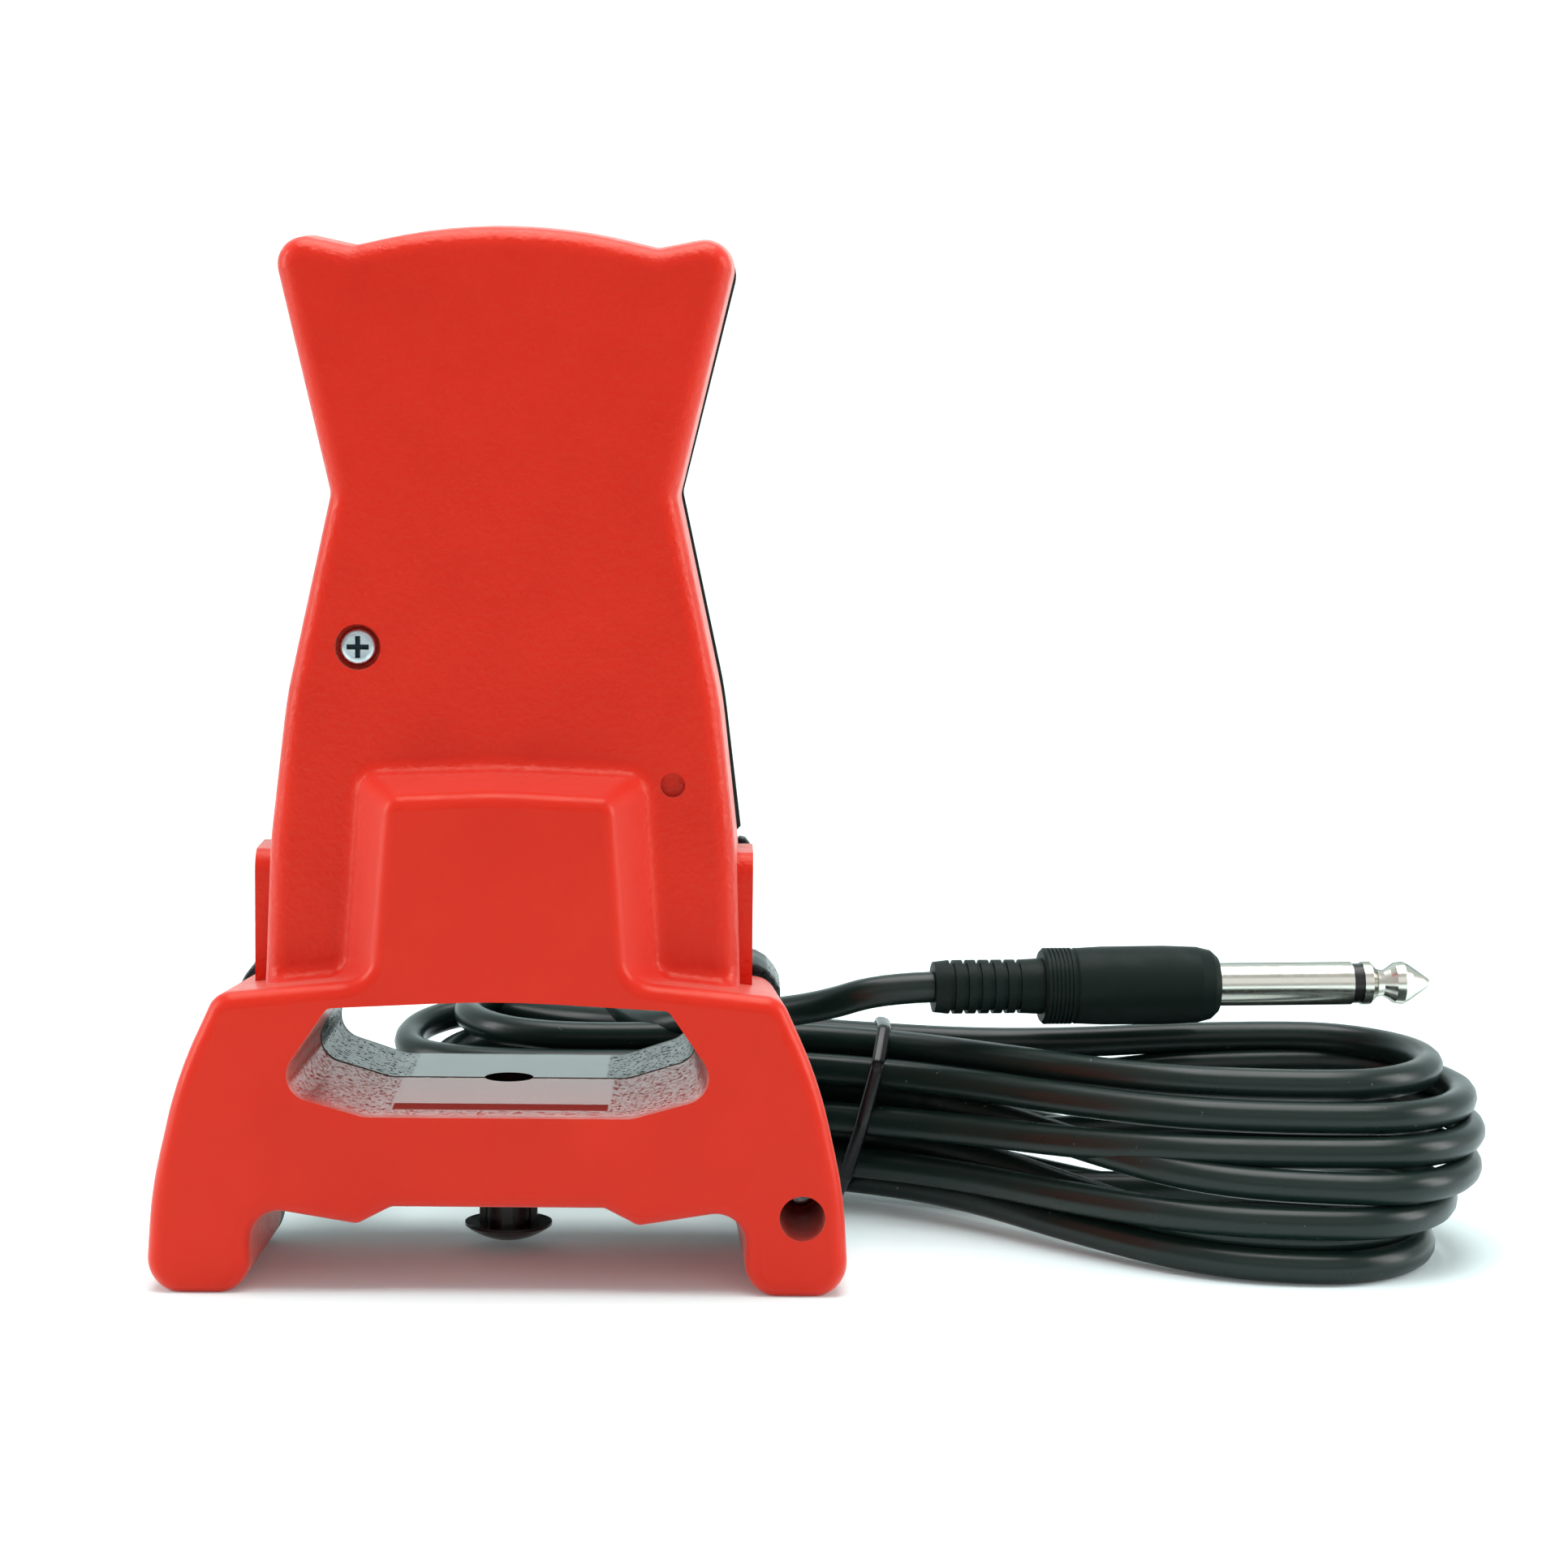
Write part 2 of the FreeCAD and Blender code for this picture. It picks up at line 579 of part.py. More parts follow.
def bumper_pads():
    floor = TRAY_FACE + WALL
    pads = []
    for side in (-1, 1):
        pad = rod(BUMPER_R, side * BUMPER_X, BUMPER_Z, floor, floor + BUMPER_HEIGHT)
        pads.append(pad.makeChamfer(0.8, [e for e in pad.Edges if flat_at(e, floor
                                                                         + BUMPER_HEIGHT)]))
    return Part.makeCompound(pads)


def return_spring():
    floor = TRAY_FACE + WALL
    length = 26.0
    turns = 6.5
    helix = Part.makeHelix(length / turns, length, SPRING_MEAN_R)
    start = V(SPRING_MEAN_R, 0, 0)
    circle = Part.Wire(Part.makeCircle(SPRING_WIRE_R, start, V(0, 1, 0)))
    coil = Part.Wire(helix.Edges).makePipeShell([circle], True, True)
    coil.rotate(V(0, 0, 0), X_AXIS, -90)
    coil.translate(at(0, floor + SPRING_WIRE_R + 0.1, SPRING_Z))
    return coil


# ---- switch ----
def switch_board():
    board = box(-22.6, 17, BOARD_DEPTH, BOARD_DEPTH + BOARD_THICK, 73, 97)
    board = board.makeFillet(1.5, [e for e in board.Edges if abs(e.Length - BOARD_THICK) < 0.01])
    holes = [rod(SCREW_R, SCREW_X, SCREW_Z, 0, 40)]
    for x in (-7, 0, 7):
        holes.append(box(x - 0.6, x + 0.6, 10, 20, SWITCH_Z - 0.4, SWITCH_Z + 0.4))
    return board.cut(holes)


def switch_body():
    floor = BOARD_DEPTH + BOARD_THICK
    body = box(-10, 10, floor, SWITCH_TOP, SWITCH_Z - 3.2, SWITCH_Z + 3.2)
    body = body.makeFillet(0.6, [e for e in body.Edges if flat_at(e, SWITCH_TOP)])
    slot = box(-1.6, 1.6, floor + 1.5, SWITCH_TOP + 1, SWITCH_Z - 1.5, SWITCH_Z + 1.5)
    return body.cut(slot)


def switch_plunger():
    edge = 1.6 - PLUNGER_GAP
    side = 1.5 - PLUNGER_GAP
    top = PLUNGER_TOP
    body = box(-edge, edge, top - PLUNGER_LENGTH, top, SWITCH_Z - side, SWITCH_Z + side)
    return body.makeFillet(0.4, [e for e in body.Edges if flat_at(e, top)])


def switch_terminals():
    floor = BOARD_DEPTH + BOARD_THICK
    blades = []
    for x in (-7, 0, 7):
        blades.append(box(x - 0.6, x + 0.6, BOARD_DEPTH - 1.3, floor, SWITCH_Z - 0.4,
                          SWITCH_Z + 0.4))
    return Part.makeCompound(blades)


def arc_path(points):
    """Straight runs joined by arcs that are as large as the shorter run allows."""
    corners = []
    radii = []
    for i in range(1, len(points) - 1):
        a, p, b = points[i - 1], points[i], points[i + 1]
        u = a - p
        v = b - p
        run = min(u.Length, v.Length)
        u.normalize()
        v.normalize()
        turn = math.pi - u.getAngle(v)
        radius = 0.45 * run / math.tan(turn / 2)
        half = (math.pi - turn) / 2
        middle = p + (u + v).normalize() * (radius / math.sin(half) - radius)
        corners.append((p + u * 0.45 * run, middle, p + v * 0.45 * run))
        radii.append(round(radius, 1))
    edges = []
    last = points[0]
    for start, middle, end in corners:
        edges.append(Part.LineSegment(last, start).toShape())
        edges.append(Part.Arc(start, middle, end).toShape())
        last = end
    edges.append(Part.LineSegment(last, points[-1]).toShape())
    return Part.Wire(edges), radii


def tube(name, points, radius):
    path, radii = arc_path(points)
    first = points[1] - points[0]
    circle = Part.Wire(Part.makeCircle(radius, points[0], first))
    solid = path.makePipeShell([circle], True, False)
    print(name, "length", round(path.Length, 1), "radii", radii,
          "volume share", round(solid.Volume / (math.pi * radius ** 2 * path.Length), 4))
    return solid


def switch_leads():
    """Two thin leads from the switch down to the end of the cord."""
    leads = []
    for start_x, shift in ((-7.0, 0.0), (0.0, 1.5)):
        leads.append(tube("lead", [
            at(start_x, 12.75, SWITCH_Z - 1.2), at(start_x - 2, 12.75, 70),
            at(-17, 14.5 + shift, 59),
            at(-26.6, 15.5 + shift, 50), at(-28.2, 16.5 + shift, 40), at(-32.0, 20 + shift, 31),
            at(-36.0, 26 + shift, 24), at(-35.0, 30 + shift, 18.5),
        ], 0.6))
    return Part.makeCompound(leads)


# ---- fasteners ----
def pan_screw(head_depth, x, z, shank_end):
    """Pan-head screw with a cross recess, entered from the underside."""
    head = rod(SCREW_HEAD_R, x, z, head_depth, head_depth + 1.6)
    head = head.makeFillet(0.9, [e for e in head.Edges if flat_at(e, head_depth)])
    shank = rod(SCREW_R, x, z, head_depth + 1.6, shank_end)
    arms = [
        box(x - 1.5, x + 1.5, head_depth - 1, head_depth + 0.9, z - 0.35, z + 0.35),
        box(x - 0.35, x + 0.35, head_depth - 1, head_depth + 0.9, z - 1.5, z + 1.5),
    ]
    return head.fuse(shank).cut(arms)


def board_screw():
    return pan_screw(TRAY_FACE + 0.3, SCREW_X, SCREW_Z, BOARD_DEPTH + BOARD_THICK + 2.6)


def board_nut():
    start = BOARD_DEPTH + BOARD_THICK
    corners = []
    for i in range(7):
        angle = math.radians(60 * i)
        corners.append(at(SCREW_X + 3.175 * math.cos(angle), start,
                          SCREW_Z + 3.175 * math.sin(angle)))
    nut = Part.Face(Part.makePolygon(corners)).extrude(V(0, 2.4, 0))
    return nut.cut(rod(SCREW_R, SCREW_X, SCREW_Z, 0, 40))


def housing_screw():
    return pan_screw(LEG_SCREW_SEAT - 1.6, LEG_SCREW_X, LEG_SCREW_Z, SEAM_DEPTH + 1.5)


def cord_clamp():
    """Bar across the cord's inner end."""
    body = box(-31, -19, SEAM_DEPTH + 1.5, SEAM_DEPTH + 6, 15.2, 21.4)
    return body.cut(rod(CORD_R, GLAND_X, GLAND_Z + 0.8, 0, 60))


# ---- locking peg ----
def lock_peg():
    head = Part.makeSphere(PEG_HEAD_R * 1.6, at(0, SEAM_DEPTH, PEG_HEAD_Z + PEG_HEAD_R * 1.6))
    head = head.common(post(PEG_HEAD_R, 0, SEAM_DEPTH, PEG_HEAD_Z, PEG_HEAD_Z + PEG_HEAD_THICK))
    foot = PEG_HEAD_Z + PEG_HEAD_THICK - 0.4
    half = PEG_CROSS_WIDTH / 2
    thick = PEG_CROSS_THICK / 2
    stem_top = ARCH_HEIGHT + 0.6
    ribs = [
        box(-half, half, SEAM_DEPTH - thick, SEAM_DEPTH + thick, foot, stem_top),
        box(-thick, thick, SEAM_DEPTH - half, SEAM_DEPTH + half, foot, stem_top),
        post(PEG_SHAFT_R, 0, SEAM_DEPTH, foot, WINDOW_SILL_Z - 2.2),
    ]
    return head.fuse(ribs).removeSplitter()


# ---- cord, hank and plug ----
def cord_gland():
    """Tapered strain relief with a flange behind the housing wall."""
    x, z = GLAND_X, GLAND_Z
    root = OVERALL_DEPTH + 0.5
    neck = rod(GLAND_HOLE_R, x, z, SEAM_DEPTH + 7, root)
    taper = Part.makeCone(GLAND_HOLE_R + 0.9, CORD_R + 0.9, GLAND_END - root, at(x, root, z),
                          Y_AXIS)
    body = neck.fuse(taper)
    d = root + 2.5
    while d < GLAND_END - 3:
        ring = rod(8, x, z, d, d + 1.0).cut(rod(CORD_R + 1.1, x, z, d - 1, d + 2))
        body = body.cut(ring)
        d += 2.6
    return body


def cord_lead():
    return tube("cord_lead", [
        at(GLAND_X, GLAND_END, GLAND_Z), at(GLAND_X, 76, GLAND_Z), at(-28, 88, 13.0),
        at(-31, 100, 7.0), at(-27.5, 112, 3.2), at(-16, 118.5, 2.35), at(-3, 117.0, 2.35),
        at(7.5, 109.5, 2.8), at(14, 98.5, 4.2), at(18.5, 88.0, 6.0), at(21.5, 79.0, 8.0),
    ], CORD_R)


def cord_tail():
    start = at(*PLUG_START)
    yaw = math.radians(PLUG_YAW)
    first = start - V(math.cos(yaw), math.sin(yaw), 0) * 8
    return tube("cord_tail", [
        start, first, at(45.4, 49.3, 33.4), at(37.3, 54.6, 31.0), at(29.0, 61.5, 28.4),
        at(20.0, 68.0, 25.0),
    ], CORD_R)


def cord_hank():
    """Outer shape of the tied hank, wider and fanned out at its right end."""
    sections = (
        (-20.5, 88.0, 4.5, 14.5, 6.0),
        (-14.0, 86.0, 9.0, 13.0, 10.5),
        (5.0, 80.0, 14.0, 13.2, 13.0),
        (28.0, 71.0, 14.0, 14.0, 13.9),
        (51.0, 60.5, 12.0, 14.4, 13.8),
        (80.0, 48.0, 22.0, 14.2, 13.9),
        (110.0, 36.0, 29.0, 14.2, 14.0),
        (130.0, 33.0, 26.0, 15.0, 13.6),
        (138.5, 33.0, 14.0, 17.0, 9.0),
    )
    wires = []
    for x, depth, half_depth, z, half_height in sections:
        square = [
            at(x, depth - half_depth, z), at(x, depth - half_depth * 0.72, z + half_height * 0.72),
            at(x, depth, z + half_height), at(x, depth + half_depth * 0.72, z + half_height * 0.72),
            at(x, depth + half_depth, z), at(x, depth + half_depth * 0.72, z - half_height * 0.72),
            at(x, depth, z - half_height), at(x, depth - half_depth * 0.72, z - half_height * 0.72),
        ]
        wires.append(Part.makePolygon(square + square[:1]))
    return Part.makeLoft(wires, True, True)


def hank_tie():
    """Thin tie pulled round the hank, leaning with its top to the right."""
    centre = at(51.0, 60.5, 14.4)

    def disc(grow):
        ellipse = Part.Ellipse(V(0, 0, 0), 13.5 + grow, 11.9 + grow).toShape()
        face = Part.Face(Part.Wire(ellipse))
        face.rotate(V(0, 0, 0), Y_AXIS, 90)
        solid = face.extrude(V(TIE_WIDTH, 0, 0))
        solid.translate(centre - V(TIE_WIDTH / 2, 0, 0))
        return solid
    tie = disc(1.0).cut(disc(0))
    tie.rotate(centre, Y_AXIS, TIE_LEAN)
    return tie


def placed_plug(shape):
    """A plug piece made along +X from its cord end, put where the plug lies."""
    shape = shape.copy()
    shape.rotate(V(0, 0, 0), Z_AXIS, PLUG_YAW)
    shape.translate(at(*PLUG_START))
    return shape


def turned(profile):
    """A round piece from (distance along, radius) points, turned about +X."""
    points = [V(profile[0][0], 0, 0)]
    points += [V(x, r, 0) for x, r in profile]
    points += [V(profile[-1][0], 0, 0)]
    clean = [points[0]]
    for p in points[1:]:
        if p.distanceToPoint(clean[-1]) > 1e-6:
            clean.append(p)
    clean.append(points[0])
    return Part.Face(Part.makePolygon(clean)).revolve(V(0, 0, 0), X_AXIS, 360)


RELIEF_END = 16.0
COLLAR_END = 21.0
BODY_END = 42.3
SLEEVE_END = 62.6
RING_END = 64.2
TIP_END = 74.6


def plug_relief():
    profile = [(0, 3.7)]
    x = 2.2
    while x < RELIEF_END - 3:
        profile += [(x, 3.95), (x, 3.45), (x + 0.7, 3.45), (x + 0.7, 3.95)]
        x += 1.95
    profile.append((RELIEF_END, 4.1))
    return placed_plug(turned(profile))


def plug_collar():
    profile = [(RELIEF_END, 5.2)]
    x = RELIEF_END + 0.4
    while x < COLLAR_END - 0.6:
        profile += [(x, 5.6), (x + 0.35, 5.6), (x + 0.35, 5.35), (x + 0.6, 5.35)]
        x += 0.6
    profile.append((COLLAR_END, 5.6))
    return placed_plug(turned(profile))


def plug_body():
    profile = [(COLLAR_END, 5.55), (COLLAR_END + 4, 5.75), (BODY_END - 8, 5.8),
               (BODY_END - 3, 5.6), (BODY_END - 1, 5.1), (BODY_END, 4.2)]
    return placed_plug(turned(profile))


def plug_sleeve():
    profile = [(BODY_END, PLUG_SLEEVE_R), (SLEEVE_END, PLUG_SLEEVE_R)]
    return placed_plug(turned(profile))


def plug_insulator():
    return placed_plug(turned([(SLEEVE_END, 2.95), (RING_END, 2.95)]))


def plug_tip():
    profile = [
        (RING_END, 3.17), (RING_END + 1.3, 3.17), (RING_END + 2.3, 2.1), (RING_END + 3.3, 1.9),
        (RING_END + 4.2, 2.4), (RING_END + 5.0, 3.0), (RING_END + 6.3, 3.17),
        (TIP_END - 3.0, 2.6), (TIP_END - 0.8, 1.1), (TIP_END, 0.5),
    ]
    return placed_plug(turned(profile))


def main():
    os.makedirs("parts", exist_ok=True)
    save("bottom_shell", bottom_shell())
    save("top_housing", top_housing())
    save("pedal_lever", pedal_lever())
    save("tread_pad", tread_pad())
    save("hinge_pin", hinge_pin())
    save("hinge_bush_left", hinge_bush(-1))
    save("hinge_bush_right", hinge_bush(1))
    save("felt_stop", felt_stop())
    save("bumper_pads", bumper_pads())
    save("return_spring", return_spring())
    save("switch_board", switch_board())
    save("switch_body", switch_body())
    save("switch_plunger", switch_plunger())
    save("switch_terminals", switch_terminals())
    save("switch_leads", switch_leads())
    save("board_screw", board_screw())
    save("board_nut", board_nut())
    save("housing_screw", housing_screw())
    save("cord_clamp", cord_clamp())
    save("lock_peg", lock_peg())
    save("cord_gland", cord_gland())
    save("cord_lead", cord_lead())
    save("cord_hank", cord_hank())
    save("hank_tie", hank_tie())
    save("cord_tail", cord_tail())
    save("plug_relief", plug_relief())
    save("plug_collar", plug_collar())
    save("plug_body", plug_body())
    save("plug_sleeve", plug_sleeve())
    save("plug_insulator", plug_insulator())
    save("plug_tip", plug_tip())


main()
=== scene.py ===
import json
import math

import bmesh
import bpy
from mathutils import Matrix, Vector


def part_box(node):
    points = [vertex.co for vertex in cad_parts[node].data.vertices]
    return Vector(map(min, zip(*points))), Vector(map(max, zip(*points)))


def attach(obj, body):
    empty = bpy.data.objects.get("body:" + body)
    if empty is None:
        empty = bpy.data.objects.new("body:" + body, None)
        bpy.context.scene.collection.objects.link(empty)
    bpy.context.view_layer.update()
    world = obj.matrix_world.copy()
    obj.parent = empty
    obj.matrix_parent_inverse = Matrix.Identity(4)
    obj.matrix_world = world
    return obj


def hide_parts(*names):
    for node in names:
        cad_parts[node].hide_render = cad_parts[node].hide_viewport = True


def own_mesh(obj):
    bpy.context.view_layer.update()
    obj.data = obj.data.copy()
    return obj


# The looks of a sustain pedal that stands on end beside its tied cord.
# Lengths named below are in millimetres, and mm() turns them into metres.

MM = 0.001
HALF_DEPTH = 24.0           # the underside lies this far in front of the origin
SEAM_DEPTH = 29.5           # parting line of the two base halves, behind the underside

SCREW_X, SCREW_Z = -19.6, 87.0
SCREW_FACE = 9.9            # depth of the front screw's head
CROSS_REACH = (1.7, 1.9)    # from its middle to where the cross's shade ends

# ---- camera ----
CAMERA_AT = (29.0, -542.0, 130.0)
CAMERA_PITCH = 6.6          # degrees down
CAMERA_YAW = 1.0            # degrees to the right
CAMERA_ROLL = 0.65
CAMERA_LENS = 89.8

# ---- cord ----
CORD_D = 4.6
TURNS = 7
TIE_X = 51.0
TIE_DEPTH = 60.5
TIE_Z = 14.4
TIE_LEAN = 15.0             # degrees, its top to the right
TIE_STEPS = 72
TIE_HALF_WIDTH = 1.1
TIE_REACH = 16.5            # the tail passes further out and stays outside the tie
TIE_ROW_PITCH = 3.4         # between the rows of runs under the tie
TIE_SPREAD = 9.4            # half the widest row's depth there
TIE_HALF_HEIGHT = 11.4      # of the oval that the rows under the tie fill
TIE_SIDES = 10              # round the band's section
TIE_CLEARANCE = 0.35        # from the cord's surface to the middle of the band
TIE_HALF_THICKNESS = 0.55
INNER_SHARE = 0.35          # every second row lies this much further in
INNER_LEAST = 2.5
LIES_AT = 2.35              # height of a cord that lies on the floor
SLANT = math.atan(0.37)     # the hank comes forward towards the right
RUN_POINTS = 7              # in each front or back run
FAN_FROM_X = 4.0            # past the tie, where the runs start to fan out
FAN_FULL_X = 108.0
RUN_LAST_X = 98.0
FAN_RUN_OUT = 24.0          # a run stops at least this far before its turn's end
FAN_LENGTH = 17.0           # of the rounded part of a turn at the fanned end
FAN_LENGTH_EXTRA = 1.0      # a spline cuts its corners, so its points lie further out
FAN_WIDTH_EXTRA = 0.6
FAN_FIRST, FAN_STEP, FAN_STEPS = 84, 28, 7      # degrees, degrees, points
FOLD_R = 13.4               # at the narrow end
FOLD_ANGLE = 80             # degrees to either side
FOLD_STEPS = 5
LEFT_ROW_PITCH = 3.35
LEFT_LOWEST = 2.6
LEFT_OFFSET = 9.2           # half the narrow end's depth in its inner rows
LEFT_OFFSET_STEP = 4.4      # its outer rows lie this much further out
LEFT_FROM_X = 8.0           # before the tie, where the runs start to gather
LEFT_FULL_X = -4.0
BACK_RUN_STARTS = 26.0      # past the narrow end
FRONT_RUN_STOPS = 17.0
FIRST_RUN_X = 33.0
LAST_RUN_X = 14.0

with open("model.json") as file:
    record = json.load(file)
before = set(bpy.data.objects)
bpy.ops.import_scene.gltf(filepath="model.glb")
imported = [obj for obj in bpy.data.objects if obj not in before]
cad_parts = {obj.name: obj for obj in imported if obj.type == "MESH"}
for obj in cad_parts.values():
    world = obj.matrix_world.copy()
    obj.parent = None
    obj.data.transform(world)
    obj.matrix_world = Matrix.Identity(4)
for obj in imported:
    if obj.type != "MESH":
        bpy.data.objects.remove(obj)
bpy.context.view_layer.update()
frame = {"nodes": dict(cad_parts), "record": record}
nodes = frame["nodes"]


def mm(x, depth, z):
    """A point in metres, its depth counted back from the underside."""
    return Vector((x, depth - HALF_DEPTH, z)) * MM


def depth_at(depth):
    """The y of a depth behind the underside, in metres."""
    return (depth - HALF_DEPTH) * MM


def smooth(value, low, high):
    """0 below low, 1 above high, and an S curve in between."""
    t = min(max((value - low) / (high - low), 0.0), 1.0)
    return t * t * (3 - 2 * t)


def mix(a, b, share):
    return a + (b - a) * share


# ---- camera ----
def make_camera():
    """Looks at the underside from a little above, with the hank to the right."""
    pitch = math.radians(CAMERA_PITCH)
    yaw = math.radians(CAMERA_YAW)
    look = Vector((math.sin(yaw) * math.cos(pitch), math.cos(yaw) * math.cos(pitch),
                   -math.sin(pitch)))
    turn = look.to_track_quat("-Z", "Y").to_matrix().to_4x4()
    turn = turn @ Matrix.Rotation(math.radians(CAMERA_ROLL), 4, "Z")
    data = bpy.data.cameras.new("camera")
    data.sensor_width = 36.0
    data.lens = CAMERA_LENS
    data.clip_end = 20.0
    camera = bpy.data.objects.new("camera", data)
    camera.matrix_world = Matrix.Translation(Vector(CAMERA_AT) * MM) @ turn
    bpy.context.scene.collection.objects.link(camera)
    bpy.context.scene.camera = camera


# ---- the cord's route ----
def lead_route():
    """From the strain relief down to the floor behind the pedal and into the hank."""
    return [
        mm(-25, 66, 17.5), mm(-25, 76, 17.5), mm(-28, 88, 13.0), mm(-31, 100, 7.0),
        mm(-27.5, 112, 3.2), mm(-16, 118.5, 2.35), mm(-3, 117.0, 2.35), mm(7.5, 109.5, 2.8),
        mm(14, 98.5, 4.2), mm(18.5, 88.0, 6.0), mm(21.5, 79.0, 8.0),
    ]


def tail_route():
    """Off the hank's top and up into the plug's relief."""
    return [
        mm(20.0, 68.0, 25.0), mm(29.0, 61.5, 27.6), mm(37.3, 54.6, 29.4),
        mm(45.4, 49.3, 31.6), mm(53.04, 46.16, 34.7), mm(61.0, 47.0, 34.9),
    ]


# Each turn at the fanned end: where it ends, its front and back runs' depths, and its height.
FANNED = (
    (129.5, 9.5, 50.0, 2.35), (127.5, 12.5, 47.0, 5.5), (133.0, 10.0, 56.0, 8.4),
    (136.6, 11.5, 57.0, 12.9), (137.4, 14.5, 58.5, 17.4),
    (136.4, 17.0, 59.0, 21.8), (132.0, 21.5, 60.5, 25.6),
)
LEFT_ENDS = (-17.0, -12.0, -17.0, -12.5, -16.0, -17.9)
FRONT_ROWS = (0, 2, 1, 4, 3, 5, 6)
BACK_ROWS = (1, 0, 3, 2, 5, 4, 6)


def axis_depth(x):
    """The hank lies slanting: its middle comes forward towards the right."""
    return TIE_DEPTH - math.tan(SLANT) * (x - TIE_X)


def tie_place(row, side):
    """Depth off the hank's middle and height of a run under the tie."""
    lift = (row - (TURNS - 1) / 2) * TIE_ROW_PITCH
    spread = TIE_SPREAD * math.sqrt(1 - (lift / TIE_HALF_HEIGHT) ** 2)
    if row % 2 == 0:
        spread = max(INNER_LEAST, INNER_SHARE * spread)
    return side * spread, TIE_Z + lift


def run_point(x, turn, side):
    """A point of the front (side -1) or back (side 1) run of a turn."""
    rows = BACK_ROWS if side > 0 else FRONT_ROWS
    row = rows[turn]
    offset, height = tie_place(row, side)
    _, front, back, fan_height = FANNED[turn]
    fan = smooth(x, TIE_X + FAN_FROM_X, FAN_FULL_X)
    fan_depth = back if side > 0 else front
    left = smooth(-x, -TIE_X + LEFT_FROM_X, -LEFT_FULL_X)
    left_depth = axis_depth(x) + side * (LEFT_OFFSET + LEFT_OFFSET_STEP * (row % 2))
    left_height = LEFT_LOWEST + LEFT_ROW_PITCH * row
    depth = mix(mix(axis_depth(x) + offset, fan_depth, fan), left_depth, left)
    height = mix(mix(height, fan_height, fan), left_height, left)
    return mm(x, depth, max(height, LIES_AT))


def right_end(turn):
    """Round the fanned end, from this turn's back run to its front run."""
    end_x, front, back, height = FANNED[turn]
    middle, half = (front + back) / 2, (back - front) / 2
    points = []
    for step in range(FAN_STEPS):
        angle = math.radians(FAN_FIRST - FAN_STEP * step)
        x = end_x - FAN_LENGTH + (FAN_LENGTH + FAN_LENGTH_EXTRA) * math.cos(angle)
        points.append(mm(x, middle + (half + FAN_WIDTH_EXTRA) * math.sin(angle), height))
    return points


def left_end(turn):
    """Round the narrow end, from this turn's front run up to the next turn's back run."""
    low = LEFT_LOWEST + LEFT_ROW_PITCH * FRONT_ROWS[turn]
    high = LEFT_LOWEST + LEFT_ROW_PITCH * BACK_ROWS[turn + 1]
    centre_x = LEFT_ENDS[turn] + FOLD_R * math.cos(SLANT)
    points = []
    for step in range(FOLD_STEPS + 1):
        share = step / FOLD_STEPS
        angle = math.radians(mix(-FOLD_ANGLE, FOLD_ANGLE, share))
        along, across = -FOLD_R * math.cos(angle), FOLD_R * math.sin(angle)
        x = centre_x + along * math.cos(SLANT) + across * math.sin(SLANT)
        depth = axis_depth(centre_x) - along * math.sin(SLANT) + across * math.cos(SLANT)
        height = mix(low, high, smooth(share, 0.1, 0.9))
        points.append(mm(x, depth, max(height, LIES_AT)))
    return points


def make_run(turn, side, first, last):
    """A turn's whole front or back run, between two values of x."""
    return [run_point(mix(first, last, i / (RUN_POINTS - 1)), turn, side)
            for i in range(RUN_POINTS)]


def cord_route():
    """The whole cord: its lead, the hank's turns one after another, and its tail."""
    route = lead_route()
    for turn in range(TURNS):
        far = min(RUN_LAST_X, FANNED[turn][0] - FAN_RUN_OUT)
        first = FIRST_RUN_X if turn == 0 else LEFT_ENDS[turn - 1] + BACK_RUN_STARTS
        last = LAST_RUN_X if turn == TURNS - 1 else LEFT_ENDS[turn] + FRONT_RUN_STOPS
        route += make_run(turn, 1, first, far) + right_end(turn)
        route += make_run(turn, -1, far, last)
        if turn < TURNS - 1:
            route += left_end(turn)
    # the last end turns back over the top and leaves as the tail
    route += [mm(3.0, 69.0, 23.2), mm(-5.5, 73.5, 23.6), mm(-10.0, 83.0, 24.2),
              mm(-7.5, 93.5, 24.8), mm(2.5, 97.5, 25.4), mm(11.0, 90.0, 25.8),
              mm(15.5, 79.0, 25.4)]
    return route + tail_route()


def link_mesh(name, mesh):
    """A new object in the scene with this bmesh's shape."""
    data = bpy.data.meshes.new(name)
    mesh.to_mesh(data)
    piece = bpy.data.objects.new(name, data)
    bpy.context.scene.collection.objects.link(piece)
    return piece


def make_cord(route):
    curve = bpy.data.curves.new("cord", "CURVE")
    curve.dimensions = "3D"
    curve.bevel_depth = 1.0         # times each point's radius, which also sets the curve's box
    curve.bevel_resolution = 5
    curve.resolution_u = 6
    spline = curve.splines.new("NURBS")
    spline.points.add(len(route) - 1)
    for point, place in zip(spline.points, route):
        point.co = (*place, 1.0)
        point.radius = CORD_D / 2 * MM
    spline.use_endpoint_u = True
    spline.order_u = 3
    cord = bpy.data.objects.new("cord", curve)
    bpy.context.scene.collection.objects.link(cord)
    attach(cord, "base")
    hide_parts("cord_lead", "cord_hank", "cord_tail")
    return cord


def centreline(cord):
    """The cord's own line, as points in metres."""
    bare = bpy.data.objects.new("bare", cord.data.copy())
    bare.data.bevel_depth = 0.0
    mesh = bpy.data.meshes.new_from_object(bare)
    line = [v.co.copy() for v in mesh.vertices]
    bpy.data.meshes.remove(mesh)
    bpy.data.curves.remove(bare.data)
    return line


